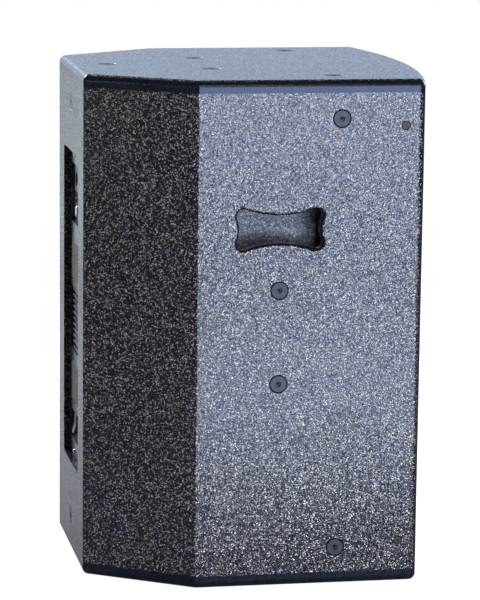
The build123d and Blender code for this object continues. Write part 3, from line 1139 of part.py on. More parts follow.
def lead(route, radius):
    """Round lead along straight runs joined by arcs."""
    with BuildPart() as cable:
        with BuildLine():
            path = FilletPolyline(*[(x, y, up(height)) for x, y, height in route], radius=radius)
        with BuildSketch(Plane(origin=path @ 0, z_dir=path % 0)):
            Circle(LEAD_R)
        sweep()
    return cable.part


with BuildPart() as internal_wiring:
    add(lead(WOOFER_LEAD, WOOFER_LEAD_BEND_R))
    add(lead(HORN_LEAD, HORN_LEAD_BEND_R))

# ---------------------------------------------------------------- export

pieces = {
    "top_panel": top_panel,
    "bottom_panel": bottom_panel,
    "side_panel_left": side_panel_left,
    "side_panel_right": side_panel_right,
    "chamfer_panel_left": chamfer_panel_left,
    "chamfer_panel_right": chamfer_panel_right,
    "rear_panel": rear_panel,
    "front_baffle": front_baffle,
    "window_brace": window_brace,
    "acoustic_damping": acoustic_damping,
    "handle_box_left": handle_box_left,
    "handle_box_right": handle_box_right,
    "rigging_screws": rigging_screws,
    "rigging_inserts": rigging_inserts,
    "rubber_feet": rubber_feet,
    "underside_screws": underside_screws,
    "pole_socket": pole_socket,
    "grille": grille,
    "grille_foam": grille_foam,
    "grille_screws": grille_screws,
    "woofer_basket": woofer_basket,
    "woofer_gasket": woofer_gasket,
    "woofer_screws": woofer_screws,
    "woofer_top_plate": woofer_top_plate,
    "woofer_magnet": woofer_magnet,
    "woofer_back_plate": woofer_back_plate,
    "woofer_surround": woofer_surround,
    "woofer_spider": woofer_spider,
    "woofer_cone": woofer_cone,
    "woofer_dust_cap": woofer_dust_cap,
    "woofer_voice_coil": woofer_voice_coil,
    "port_tubes": port_tubes,
    "horn_flare": horn_flare,
    "horn_screws": horn_screws,
    "driver_body": driver_body,
    "driver_cover": driver_cover,
    "driver_suspension": driver_suspension,
    "driver_diaphragm": driver_diaphragm,
    "amp_frame": amp_frame,
    "amp_frame_screws": amp_frame_screws,
    "label_plates": label_plates,
    "heat_sink": heat_sink,
    "amp_back_box": amp_back_box,
    "amp_board": amp_board,
    "mains_transformer": mains_transformer,
    "input_panel": input_panel,
    "input_jack": input_jack,
    "input_latch": input_latch,
    "link_jack": link_jack,
    "level_potentiometer": level_potentiometer,
    "level_shaft": level_shaft,
    "level_knob": level_knob,
    "voicing_button": voicing_button,
    "voicing_switch": voicing_switch,
    "indicator_lights": indicator_lights,
    "mains_panel": mains_panel,
    "mains_inlet": mains_inlet,
    "rocker_housing": rocker_housing,
    "power_rocker": power_rocker,
    "internal_wiring": internal_wiring,
}

for name, piece in pieces.items():
    piece.part.label = name
    export_step(piece.part, f"parts/{name}.step")
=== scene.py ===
"""Looks of an active loudspeaker cabinet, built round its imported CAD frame. Metres, +Z up."""

import math

import bpy
from mathutils import Matrix, Vector


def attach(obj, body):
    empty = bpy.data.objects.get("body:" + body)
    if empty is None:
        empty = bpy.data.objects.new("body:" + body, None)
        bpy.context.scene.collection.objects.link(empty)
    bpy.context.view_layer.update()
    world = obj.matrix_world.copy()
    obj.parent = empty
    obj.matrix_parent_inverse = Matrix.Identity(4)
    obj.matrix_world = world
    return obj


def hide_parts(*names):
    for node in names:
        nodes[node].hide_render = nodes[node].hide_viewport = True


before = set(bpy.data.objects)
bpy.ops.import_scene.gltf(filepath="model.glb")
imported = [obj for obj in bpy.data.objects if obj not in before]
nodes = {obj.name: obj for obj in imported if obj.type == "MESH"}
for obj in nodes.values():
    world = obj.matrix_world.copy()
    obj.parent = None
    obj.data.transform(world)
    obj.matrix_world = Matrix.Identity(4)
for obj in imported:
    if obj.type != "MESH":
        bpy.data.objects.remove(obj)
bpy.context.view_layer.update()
MM = 0.001

# ---------------------------------------------------------------- camera

CAMERA_AT = (-3.5247, 0.6568, 0.9720)
CAMERA_YAW, CAMERA_PITCH, CAMERA_ROLL = -10.60, 10.42, 0.65     # degrees
LENS, SENSOR = 178.35, 36.0                                     # millimetres
NEAREST, FARTHEST = 0.05, 60.0                                  # what the camera can see, metres


def make_camera():
    """Long-lens camera on the cabinet's left, a little behind it and above its top."""
    yaw, pitch, roll = (math.radians(a) for a in (CAMERA_YAW, CAMERA_PITCH, CAMERA_ROLL))
    level_reach = math.cos(pitch)
    forward = Vector((math.cos(yaw) * level_reach, math.sin(yaw) * level_reach, -math.sin(pitch)))
    level = forward.cross(Vector((0, 0, 1))).normalized()
    above = level.cross(forward)
    right = math.cos(roll) * level + math.sin(roll) * above
    up = math.cos(roll) * above - math.sin(roll) * level
    data = bpy.data.cameras.new("camera")
    data.lens = LENS
    data.sensor_fit = "VERTICAL"
    data.sensor_height = SENSOR
    data.clip_start, data.clip_end = NEAREST, FARTHEST
    camera = bpy.data.objects.new("camera", data)
    turn = Matrix((right, up, -forward)).transposed().to_4x4()
    camera.matrix_world = Matrix.Translation(CAMERA_AT) @ turn
    bpy.context.scene.collection.objects.link(camera)
    bpy.context.scene.camera = camera


make_camera()

# ---------------------------------------------------------------- shader helpers

MIX_INPUTS, MIX_RESULT = (0, 6, 7), 2       # a Mix node's sockets for factor and colours
NOISE_LOW, NOISE_HIGH = 0.3, 0.7            # range that soft noise really covers


def feed(tree, socket, value):
    """Set a socket to a constant, or link it to an output."""
    if isinstance(value, bpy.types.NodeSocket):
        tree.links.new(value, socket)
    elif isinstance(value, tuple) and socket.type == "RGBA":
        socket.default_value = (*value, 1.0)[:4]
    else:
        socket.default_value = value


def colour_mix(tree, factor, first, second):
    """Colour between two others."""
    made = tree.nodes.new("ShaderNodeMix")
    made.data_type = "RGBA"
    for place, value in zip(MIX_INPUTS, (factor, first, second)):
        feed(tree, made.inputs[place], value)
    return made.outputs[MIX_RESULT]


class Shader:
    """A node material: a Principled surface fed by object-space textures."""

    def __init__(self, name):
        self.material = bpy.data.materials.new(name)
        self.material.use_nodes = True
        self.tree = self.material.node_tree
        self.surface = self.tree.nodes["Principled BSDF"]
        self.where = self.tree.nodes.new("ShaderNodeTexCoord").outputs["Object"]

    def node(self, kind, **inputs):
        """New node, with its inputs set to values or linked to outputs."""
        made = self.tree.nodes.new("ShaderNode" + kind)
        for key, value in inputs.items():
            self.feed(made.inputs[key.replace("_", " ")], value)
        return made

    def feed(self, socket, value):
        """Set one of this material's sockets."""
        feed(self.tree, socket, value)

    def set(self, **inputs):
        """Set or link the surface's own inputs."""
        for key, value in inputs.items():
            self.feed(self.surface.inputs[key.replace("_", " ")], value)

    def stretched(self, scale):
        """Object coordinates with a scale of their own along each axis."""
        return self.node("Mapping", Vector=self.where, Scale=scale).outputs["Vector"]

    def axis(self, name):
        """One object coordinate."""
        return self.node("SeparateXYZ", Vector=self.where).outputs[name]

    def noise(self, scale, detail=3.0, rough=0.55, vector=None):
        """Soft noise, from 0 to 1."""
        vector = vector or self.where
        made = self.node("TexNoise", Vector=vector, Scale=scale, Detail=detail, Roughness=rough)
        return made.outputs["Fac"]

    def cells(self, scale, vector=None):
        """Voronoi cells: distance from each cell's middle, and a random colour for each cell."""
        made = self.node("TexVoronoi", Vector=vector or self.where, Scale=scale)
        return made.outputs["Distance"], made.outputs["Color"]

    def waves(self, scale, axis="Z", warp=0.0):
        """Even bands across one axis, from 0 to 1."""
        made = self.node("TexWave", Vector=self.where, Scale=scale, Distortion=warp)
        made.bands_direction = axis
        return made.outputs["Fac"]

    def spans(self, value, low, high, out_low=0.0, out_high=1.0):
        """Value remapped from one range to another, clamped."""
        made = self.tree.nodes.new("ShaderNodeMapRange")
        for socket, given in zip(made.inputs, (value, low, high, out_low, out_high)):
            self.feed(socket, given)
        return made.outputs["Result"]

    def soft(self, noise, out_low=0.0, out_high=1.0):
        """Soft noise remapped from the range that it really covers."""
        return self.spans(noise, NOISE_LOW, NOISE_HIGH, out_low, out_high)

    def maths(self, operation, a, b=0.0):
        """One arithmetic step."""
        made = self.tree.nodes.new("ShaderNodeMath")
        made.operation = operation
        self.feed(made.inputs[0], a)
        self.feed(made.inputs[1], b)
        return made.outputs["Value"]

    def vector(self, operation, a, b=(0.0, 0.0, 0.0), result="Vector"):
        """One vector step."""
        made = self.tree.nodes.new("ShaderNodeVectorMath")
        made.operation = operation
        self.feed(made.inputs[0], a)
        self.feed(made.inputs[1], b)
        return made.outputs[result]

    def channel(self, colour, name):
        """Red, Green or Blue of a colour."""
        return self.node("SeparateColor", Color=colour).outputs[name]

    def mix(self, factor, a, b):
        """Colour between two others."""
        return colour_mix(self.tree, factor, a, b)

    def colour(self, value):
        """The surface's base colour."""
        self.set(Base_Color=value)

    def bump(self, height, depth, strength=1.0, under=None):
        """Bump of a real depth in metres, over another bump if one is given."""
        made = self.node("Bump", Height=height, Distance=depth, Strength=strength)
        if under is not None:
            self.feed(made.inputs["Normal"], under)
        return made.outputs["Normal"]


# ---------------------------------------------------------------- studio

BOXES = {      # soft boxes: place, what it faces, width and height, watts, colour
    "side_box": {"at": (-2.60, -0.68, 0.40), "aim": (-0.19, -0.20, 0.42), "size": (1.9, 0.8),
                 "power": 92.0, "tint": (0.80, 0.87, 1.0)},
    "low_box": {"at": (-0.75, -0.25, 0.09), "aim": (-0.19, -0.25, 0.09), "size": (0.8, 0.18),
                "power": 4.0, "tint": (0.84, 0.90, 1.0)},
    "near_box": {"at": (-3.0, 0.10, 1.75), "aim": (-0.19, 0.0, 0.40), "size": (0.4, 0.4),
                 "power": 100.0, "tint": (1.0, 0.95, 0.90)},
    "edge_box": {"at": (-2.2, 3.9, 0.70), "aim": (-0.15, 0.15, 0.35), "size": (0.25, 0.25),
                 "power": 6.0, "tint": (1.0, 0.94, 0.84)},
    "rear_box": {"at": (2.2, 1.0, 0.25), "aim": (0.0, 0.2, 0.20), "size": (0.9, 0.6),
                 "power": 3.0, "tint": (0.85, 0.93, 1.0)},
    "floor_box": {"at": (1.3, 0.9, 1.5), "aim": (0.9, 0.4, 0.0), "size": (0.6, 0.6),
                  "power": 105.0, "tint": (0.90, 0.95, 1.0)},
    "front_box": {"at": (1.1, -2.4, 1.3), "aim": (0.0, -0.1, 0.3), "size": (1.4, 1.4),
                  "power": 60.0, "tint": (1.0, 1.0, 1.0)},
}
HORIZON_LIGHT, DIM_HORIZON, ZENITH_LIGHT = (0.80, 1.00, 1.30), (0.14, 0.15, 0.18), (0.09, 0.09, 0.10)
HORIZON_END, ZENITH_START = 0.12, 0.62      # heights on the world's unit sphere
DIM_SIDE, BRIGHT_SIDE = 0.35, 0.85          # how far towards +X the horizon goes from dim to bright
BLACK, WHITE = (0.0, 0.0, 0.0), (1.0, 1.0, 1.0)
FLOOR_SIZE, FLOOR_GLOW = 30.0, 0.96         # metres, and how much it glows to the camera
FLOOR_DARK, FLOOR_LIGHT = (0.16, 0.16, 0.17), (0.19, 0.19, 0.20)
FLOOR_ROUGH, FLOOR_SHINE, FLOOR_CLOUD = 0.9, 0.1, 3.0


def area_light(name, at, aim, size, power, tint):
    """Soft rectangular light that faces a point."""
    data = bpy.data.lights.new(name, "AREA")
    data.shape = "RECTANGLE"
    data.size, data.size_y = size
    data.energy = power
    data.color = tint
    light = bpy.data.objects.new(name, data)
    direction = Vector(aim) - Vector(at)
    light.rotation_euler = direction.to_track_quat("-Z", "Y").to_euler()
    light.location = at
    light.visible_camera = False
    bpy.context.scene.collection.objects.link(light)


def make_world():
    """White backdrop. The light it gives is bright at the horizon on one side and dim elsewhere."""
    world = bpy.data.worlds.new("studio")
    world.use_nodes = True
    tree = world.node_tree

    def ramp(fac, low, high, first, second):
        made = tree.nodes.new("ShaderNodeValToRGB")
        for element, place, colour in zip(made.color_ramp.elements, (low, high), (first, second)):
            element.position = place
            element.color = (*colour, 1.0)
        tree.links.new(fac, made.inputs["Fac"])
        return made.outputs["Color"]

    where = tree.nodes.new("ShaderNodeTexCoord").outputs["Generated"]
    split = tree.nodes.new("ShaderNodeSeparateXYZ")
    tree.links.new(where, split.inputs["Vector"])
    horizon = ramp(split.outputs["X"], DIM_SIDE, BRIGHT_SIDE, DIM_HORIZON, HORIZON_LIGHT)
    height = ramp(split.outputs["Z"], HORIZON_END, ZENITH_START, BLACK, WHITE)
    seen = tree.nodes.new("ShaderNodeLightPath").outputs["Is Camera Ray"]
    light = colour_mix(tree, seen, colour_mix(tree, height, horizon, ZENITH_LIGHT), WHITE)
    tree.links.new(light, tree.nodes["Background"].inputs["Color"])
    bpy.context.scene.world = world


def make_floor():
    """Pale floor whose glow only brightens the floor itself."""
    half = FLOOR_SIZE / 2
    mesh = bpy.data.meshes.new("floor")
    corners = [(-half, -half, 0), (half, -half, 0), (half, half, 0), (-half, half, 0)]
    mesh.from_pydata(corners, [], [(0, 1, 2, 3)])
    floor = bpy.data.objects.new("floor", mesh)
    bpy.context.scene.collection.objects.link(floor)
    shader = Shader("floor")
    tone = shader.noise(FLOOR_CLOUD, detail=2.0)
    seen = shader.node("LightPath").outputs["Is Camera Ray"]
    shader.colour(shader.mix(tone, FLOOR_DARK, FLOOR_LIGHT))
    shader.set(Roughness=FLOOR_ROUGH, Specular_IOR_Level=FLOOR_SHINE, Emission_Color=WHITE)
    shader.set(Emission_Strength=shader.maths("MULTIPLY", seen, FLOOR_GLOW))
    mesh.materials.append(shader.material)


bpy.context.scene.view_settings.view_transform = "Standard"
make_world()
make_floor()
for name, box in BOXES.items():
    area_light(name, **box)

# ---------------------------------------------------------------- materials

GLOSS_CLOUD = 2.3       # how much finer the uneven gloss is than the uneven tone


def finish(name, dark, light, cloud=25.0, rough=(0.4, 0.55), metallic=0.0, specular=0.5, grain=None,
           stretch=None):
    """Moulded, painted or metal surface: cloudy tone, uneven gloss and a fine grain."""
    shader = Shader(name)
    vector = shader.stretched(stretch) if stretch else None
    tone = shader.noise(cloud, detail=5.0, vector=vector)
    shader.colour(shader.mix(shader.soft(tone), dark, light))
    shader.set(Roughness=shader.soft(shader.noise(cloud * GLOSS_CLOUD, vector=vector), *rough))
    shader.set(Metallic=metallic, Specular_IOR_Level=specular)
    if grain:
        grain_scale, depth = grain
        fine = shader.noise(grain_scale, detail=2.0, vector=vector)
        shader.set(Normal=shader.bump(fine, depth * MM))
    return shader.material


GRAIN_SCALE, LUMP_SCALE = 900.0, 150.0             # grains and slow lumps per metre
EDGE_ON, FACE_ON = (0.75, 0.90), (0.60, 0.40)      # normal's share along an axis, from smooth to grainy
LOOSE_GRAINS, PAINTED_GLINT_GRAINS = (0.55, 1.0), (0.80, 1.0)     # parts of each grain's random range
BRIGHT_GRAINS = (0.25, 1.0)
LEAST_TILT, MOST_TILT = 0.5, 1.4                   # of a grain, as a multiple of the usual tilt
BODY_DARK, BODY_LIGHT = (0.002, 0.0025, 0.0035), (0.0045, 0.005, 0.007)
# painted glints: light base colours for the palest grains
PAINTED_GLINT_COOL, PAINTED_GLINT_WARM = (0.16, 0.17, 0.22), (0.26, 0.21, 0.16)
SHEEN_DIM, SHEEN_COOL, SHEEN_WARM = (0.15, 0.19, 0.31), (0.88, 0.92, 1.0), (1.0, 0.92, 0.88)


def textured_paint(name, flat_axis, flat_range, tilt=0.28, painted_glints=1.0, painted_fill_lift=1.0, gloss=0.70):
    """Tough black coating: small glossy grains, each leaning its own way, so that they glint one by one.
    The palest grains are also painted lighter in base colour, as painted glints.

    The coating flows smooth on rounded edges: grains show where the normal's share along flat_axis is
    inside flat_range. Where they fade, the painted glints and the brighter reflection tints fade too,
    which
    leaves rounded edges darker: partly the smoother coat, partly painted shade. painted_fill_lift above 1
    makes the black body lighter: painted light for a shaded place.
    """
    shader = Shader(name)
    normal = shader.node("NewGeometry").outputs["Normal"]
    share = shader.maths("ABSOLUTE", shader.node("SeparateXYZ", Vector=normal).outputs[flat_axis])
    grainy = shader.spans(share, *flat_range)
    random = shader.cells(GRAIN_SCALE)[1]
    pick, hue = shader.channel(random, "Red"), shader.channel(random, "Green")
    lean = shader.vector("SUBTRACT", random, (0.5, 0.5, 0.5))
    loose = shader.spans(pick, *LOOSE_GRAINS, LEAST_TILT * tilt, MOST_TILT * tilt)
    lean = shader.vector("MULTIPLY", lean, shader.maths("MULTIPLY", grainy, loose))
    shader.set(Normal=shader.vector("NORMALIZE", shader.vector("ADD", normal, lean)))
    lump = shader.noise(LUMP_SCALE, detail=2.0)
    pale = shader.mix(shader.spans(hue, 0.35, 0.65), PAINTED_GLINT_COOL, PAINTED_GLINT_WARM)
    # painted_fill_lift above 1 lightens the coating's black body: painted light
    dark, light = (tuple(painted_fill_lift * value for value in tone) for tone in (BODY_DARK, BODY_LIGHT))
    body = shader.mix(shader.soft(lump), dark, light)
    # speck: how much painted glint colour the palest grains get, where the coating is grainy
    speck = shader.maths("MULTIPLY", shader.spans(pick, *PAINTED_GLINT_GRAINS, 0.0, painted_glints), grainy)
    shader.colour(shader.mix(speck, body, pale))
    shader.set(Roughness=shader.spans(hue, 0.1, 0.9, 0.18, 0.30))
    # rounded edges keep the dimmest reflection tint, SHEEN_DIM, and so look darker: painted shade in part
    bright = shader.mix(hue, SHEEN_COOL, SHEEN_WARM)
    sheen = shader.maths("MULTIPLY", shader.spans(pick, *BRIGHT_GRAINS), grainy)
    shader.set(Specular_Tint=shader.mix(sheen, SHEEN_DIM, bright), Specular_IOR_Level=gloss)
    return shader.material


RIG_SPOTS = (   # middle of each rigging screw's head, x and y without their signs, metres
    (0.195, 0.084, 0.559), (0.195, 0.013, 0.359), (0.195, 0.013, 0.248), (0.195, 0.084, 0.049),
    (0.0, 0.1625, 0.604), (0.0625, 0.046, 0.604), (0.147, 0.084, 0.604),
    (0.0, 0.1625, 0.004), (0.0625, 0.046, 0.004), (0.147, 0.084, 0.004),
    (0.0, 0.206, 0.559), (0.0, 0.206, 0.048),
)
SOCKET_R, FACE_R = 3.3 * MM, 9.2 * MM      # where the smooth face of a head begins and ends
SOCKET_EDGE, RIM_EDGE = 0.3 * MM, 0.4 * MM


def blued_screw():
    """Blackened screw head: painted shade in its socket and a painted shadow round its rim, with a
    smoother face between them.
    """
    shader = Shader("blued_screw")
    folded = shader.vector("ABSOLUTE", shader.where)
    nearest = None
    for spot in RIG_SPOTS:
        reach = shader.vector("DISTANCE", folded, spot, result="Value")
        nearest = reach if nearest is None else shader.maths("MINIMUM", nearest, reach)
    face = shader.maths("MULTIPLY", shader.spans(nearest, SOCKET_R, SOCKET_R + SOCKET_EDGE),
                        shader.spans(nearest, FACE_R, FACE_R + RIM_EDGE, 1.0, 0.0))
    cloud = shader.noise(120.0, detail=4.0)
    # painted shade: near-black colour and a weak reflection tint in the socket and round the rim
    painted_shade = shader.mix(cloud, (0.0015, 0.0015, 0.002), (0.004, 0.004, 0.005))
    smooth = shader.mix(cloud, (0.008, 0.009, 0.013), (0.018, 0.020, 0.028))
    shader.colour(shader.mix(face, painted_shade, smooth))
    shader.set(Specular_Tint=shader.mix(face, (0.03, 0.03, 0.03), (0.24, 0.28, 0.36)))
    shader.set(Roughness=shader.soft(cloud, 0.30, 0.42))
    return shader.material


PLY_LAYERS = 330.0      # bands per unit of the wave texture


def plywood():
    """Birch plywood: pale fibres along the sheet and thin darker glue lines at the edges."""
    shader = Shader("plywood")
    fibre = shader.noise(60.0, detail=6.0, vector=shader.stretched((1.0, 1.0, 0.08)))
    layer = shader.waves(PLY_LAYERS, axis="Y", warp=0.3)
    wood = shader.mix(shader.soft(fibre), (0.42, 0.27, 0.14), (0.58, 0.41, 0.24))
    shader.colour(shader.mix(shader.spans(layer, 0.8, 1.0, 0.0, 0.5), wood, (0.20, 0.11, 0.05)))
    shader.set(Roughness=shader.soft(fibre, 0.55, 0.75), Normal=shader.bump(fibre, 0.2 * MM))
    return shader.material


def wadding():
    """White polyester wadding: soft loose fibres."""
    shader = Shader("wadding")
    fibre = shader.noise(240.0, detail=8.0, rough=0.75)
    clump = shader.noise(35.0, detail=3.0)
    white = shader.maths("MULTIPLY", fibre, clump)
    shader.colour(shader.mix(white, (0.42, 0.42, 0.41), (0.86, 0.85, 0.82)))
    shader.set(Roughness=1.0, Normal=shader.bump(fibre, 1.5 * MM))
    return shader.material


def open_foam():
    """Black open-cell foam."""
    shader = Shader("foam")
    middle, random = shader.cells(900.0)
    shader.colour(shader.mix(shader.spans(middle, 0.1, 0.6), (0.002, 0.002, 0.002), (0.016, 0.016, 0.017)))
    shader.set(Roughness=shader.spans(shader.channel(random, "Red"), 0.0, 1.0, 0.85, 1.0))
    shader.set(Normal=shader.bump(middle, 0.5 * MM))
    return shader.material


def cone_paper():
    """Pressed black paper pulp with faint fibres."""
    shader = Shader("cone_paper")
    fibre = shader.noise(420.0, detail=6.0, rough=0.7)
    cloud = shader.noise(30.0)
    tone = shader.maths("ADD", shader.maths("MULTIPLY", fibre, 0.7), shader.maths("MULTIPLY", cloud, 0.3))
    shader.colour(shader.mix(shader.spans(tone, 0.35, 0.65), (0.012, 0.012, 0.012), (0.045, 0.043, 0.040)))
    shader.set(Roughness=shader.soft(fibre, 0.75, 0.95), Normal=shader.bump(fibre, 0.25 * MM))
    return shader.material


def coil_wire():
    """Fine enamelled copper winding."""
    shader = Shader("coil_wire")
    turn = shader.waves(900.0, axis="Y")
    shader.colour(shader.mix(turn, (0.30, 0.10, 0.04), (0.72, 0.32, 0.16)))
    shader.set(Roughness=shader.soft(shader.noise(80.0), 0.25, 0.4), Metallic=0.9)
    shader.set(Normal=shader.bump(turn, 0.1 * MM))
    return shader.material


def treated_cloth():
    """Woven cloth stiffened with dark resin."""
    shader = Shader("treated_cloth")
    weave = shader.maths("MULTIPLY", shader.waves(420.0, axis="X"), shader.waves(420.0, axis="Z"))
    stain = shader.noise(50.0, detail=4.0)
    cloth = shader.mix(weave, (0.020, 0.016, 0.012), (0.075, 0.060, 0.045))
    shader.colour(shader.mix(shader.spans(stain, 0.4, 0.7), cloth, (0.018, 0.013, 0.010)))
    shader.set(Roughness=shader.soft(stain, 0.6, 0.85), Normal=shader.bump(weave, 0.25 * MM))
    return shader.material


BOARD_FRONT, BOARD_BACK = 0.160, 0.1616       # y of the bare board's two faces, metres


def circuit_board():
    """Green board; the parts in front of it are dark sleeves, the parts behind it black cases."""
    shader = Shader("circuit_board")
    depth = shader.axis("Y")
    track = shader.cells(260.0, shader.stretched((1.0, 0.0, 0.45)))[1]
    copper = shader.spans(shader.channel(track, "Red"), 0.55, 0.6)
    board = shader.mix(copper, (0.010, 0.07, 0.025), (0.03, 0.15, 0.05))
    sleeve = shader.mix(shader.noise(90.0), (0.010, 0.012, 0.020), (0.035, 0.040, 0.060))
    ahead = shader.spans(depth, BOARD_FRONT - 0.2 * MM, BOARD_FRONT - 0.1 * MM, 1.0, 0.0)
    behind = shader.spans(depth, BOARD_BACK + 0.1 * MM, BOARD_BACK + 0.2 * MM)
    shader.colour(shader.mix(shader.maths("MAXIMUM", ahead, behind), board, sleeve))
    shader.set(Roughness=shader.soft(shader.noise(60.0), 0.3, 0.5))
    return shader.material


def wound_tape():
    """Yellow insulating tape wrapped round the transformer's ring, its turns overlapping."""
    shader = Shader("tape_yellow")
    layer = shader.waves(110.0, axis="DIAGONAL", warp=1.5)
    tape = shader.mix(shader.noise(40.0), (0.55, 0.36, 0.03), (0.72, 0.50, 0.08))
    shader.colour(shader.mix(shader.spans(layer, 0.85, 1.0), tape, (0.30, 0.18, 0.02)))
    shader.set(Roughness=shader.spans(layer, 0.0, 1.0, 0.3, 0.45), Normal=shader.bump(layer, 0.3 * MM))
    return shader.material


LAMP_STEPS = (0.424, 0.432)      # heights between the three lamps, metres


def lamp_lens():
    """Small moulded lenses: green below, amber in the middle, red above."""
    shader = Shader("lamp_lens")
    height = shader.axis("Z")
    low, high = LAMP_STEPS
    lower = shader.mix(shader.spans(height, low - MM, low + MM), (0.03, 0.32, 0.06), (0.62, 0.28, 0.02))
    clear = shader.mix(shader.spans(height, high - MM, high + MM), lower, (0.50, 0.02, 0.02))
    shader.colour(shader.mix(shader.noise(500.0), clear, (0.80, 0.76, 0.70)))
    shader.set(Roughness=shader.soft(shader.noise(300.0), 0.12, 0.25))
    return shader.material


PIN_EDGE = 0.1 * MM      # distance over which plastic gives way to metal


def moulded_with_pins(name, middle, reach, pins_y):
    """Black moulded plastic with plated pins: in x and z within reach of middle, in y between pins_y."""
    shader = Shader(name)
    depth = shader.axis("Y")
    root, tip = pins_y
    behind_root = shader.spans(depth, root - PIN_EDGE, root + PIN_EDGE)
    inside = shader.maths("MULTIPLY", behind_root, shader.spans(depth, tip, tip + PIN_EDGE, 1.0, 0.0))
    for axis, centre, half in zip("XZ", middle, reach):
        offset = shader.maths("ABSOLUTE", shader.maths("SUBTRACT", shader.axis(axis), centre))
        near = shader.spans(offset, half, half + PIN_EDGE, 1.0, 0.0)
        inside = shader.maths("MULTIPLY", inside, near)
    speck = shader.noise(220.0, detail=4.0)
    plastic = shader.mix(speck, (0.008, 0.008, 0.009), (0.028, 0.028, 0.030))
    plated = shader.mix(speck, (0.52, 0.50, 0.46), (0.72, 0.70, 0.66))
    shader.colour(shader.mix(inside, plastic, plated))
    shader.set(Metallic=inside, Roughness=shader.soft(speck, 0.28, 0.45))
    shader.set(Normal=shader.bump(shader.noise(900.0), 0.03 * MM))
    return shader.material


BLACK_LOW, BLACK_HIGH = (0.008, 0.008, 0.009), (0.026, 0.026, 0.029)
screw_black = finish("black_screw", (0.006, 0.006, 0.007), (0.018, 0.018, 0.020), 90.0, (0.30, 0.45),
                     specular=0.12, grain=(700.0, 0.03))
zinc = finish("zinc_steel", (0.42, 0.42, 0.40), (0.62, 0.62, 0.60), 30.0, (0.28, 0.45), 1.0,
              grain=(500.0, 0.03))
screw_plate = finish("plate_screw", (0.55, 0.55, 0.54), (0.78, 0.78, 0.77), 150.0, (0.2, 0.35), 1.0)
rubber = finish("rubber", (0.010, 0.010, 0.010), (0.030, 0.030, 0.031), 60.0, (0.7, 0.9),
                grain=(800.0, 0.08))
socket_metal = finish("socket_metal", (0.020, 0.020, 0.022), (0.050, 0.050, 0.054), 40.0, (0.3, 0.5), 0.6,
                      grain=(600.0, 0.06))
grille_black = finish("grille_steel", (0.010, 0.010, 0.011), (0.024, 0.024, 0.027), 20.0, (0.35, 0.5),
                      grain=(1400.0, 0.05))
cast = finish("cast_frame", (0.018, 0.018, 0.020), (0.050, 0.050, 0.054), 35.0, (0.45, 0.65),
              grain=(420.0, 0.2))
ferrite = finish("ferrite", (0.030, 0.030, 0.033), (0.075, 0.075, 0.080), 70.0, (0.55, 0.75),
                 grain=(600.0, 0.08))
port_black = finish("port_plastic", BLACK_LOW, BLACK_HIGH, 25.0, (0.4, 0.55), grain=(700.0, 0.08))
titanium = finish("titanium", (0.42, 0.40, 0.38), (0.60, 0.58, 0.56), 60.0, (0.25, 0.4), 1.0)
plate_black = finish("plate_paint", (0.012, 0.013, 0.015), (0.026, 0.028, 0.033), 30.0, (0.22, 0.32),
                     specular=0.6, grain=(900.0, 0.03))
label_dark = finish("label_black", (0.045, 0.042, 0.038), (0.080, 0.075, 0.068), 45.0, (0.6, 0.75),
                    specular=0.15, grain=(1200.0, 0.02))
fin_metal = finish("fin_aluminium", (0.060, 0.060, 0.064), (0.150, 0.150, 0.160), 60.0, (0.3, 0.45), 0.9,
                   grain=(500.0, 0.04), stretch=(0.06, 1.0, 1.0))
socket_black = finish("socket_plastic", BLACK_LOW, BLACK_HIGH, 120.0, (0.28, 0.45), grain=(900.0, 0.03))
latch_bright = finish("latch_metal", (0.50, 0.50, 0.48), (0.72, 0.72, 0.70), 160.0, (0.22, 0.4), 1.0)
knob_bright = finish("knob_metal", (0.45, 0.45, 0.46), (0.70, 0.70, 0.71), 150.0, (0.2, 0.38), 1.0,
                     grain=(800.0, 0.03), stretch=(1.0, 0.1, 1.0))
button_grey = finish("button_plastic", (0.10, 0.10, 0.105), (0.20, 0.20, 0.21), 180.0, (0.4, 0.6),
                     grain=(900.0, 0.05))
rocker_black = finish("rocker_plastic", (0.012, 0.012, 0.013), (0.034, 0.034, 0.036), 110.0, (0.3, 0.45),
                      grain=(900.0, 0.04))
lead_black = finish("lead_jacket", (0.012, 0.012, 0.012), (0.045, 0.040, 0.038), 130.0, (0.4, 0.6),
                    grain=(700.0, 0.06))

LINK_MIDDLE, LINK_REACH, LINK_PINS_Y = (0.024, 0.462), (7.0 * MM, 7.0 * MM), (0.1815, 0.1975)
INLET_MIDDLE, INLET_REACH, INLET_PINS_Y = (-0.028, 0.155), (9.0 * MM, 7.0 * MM), (0.1795, 0.1945)

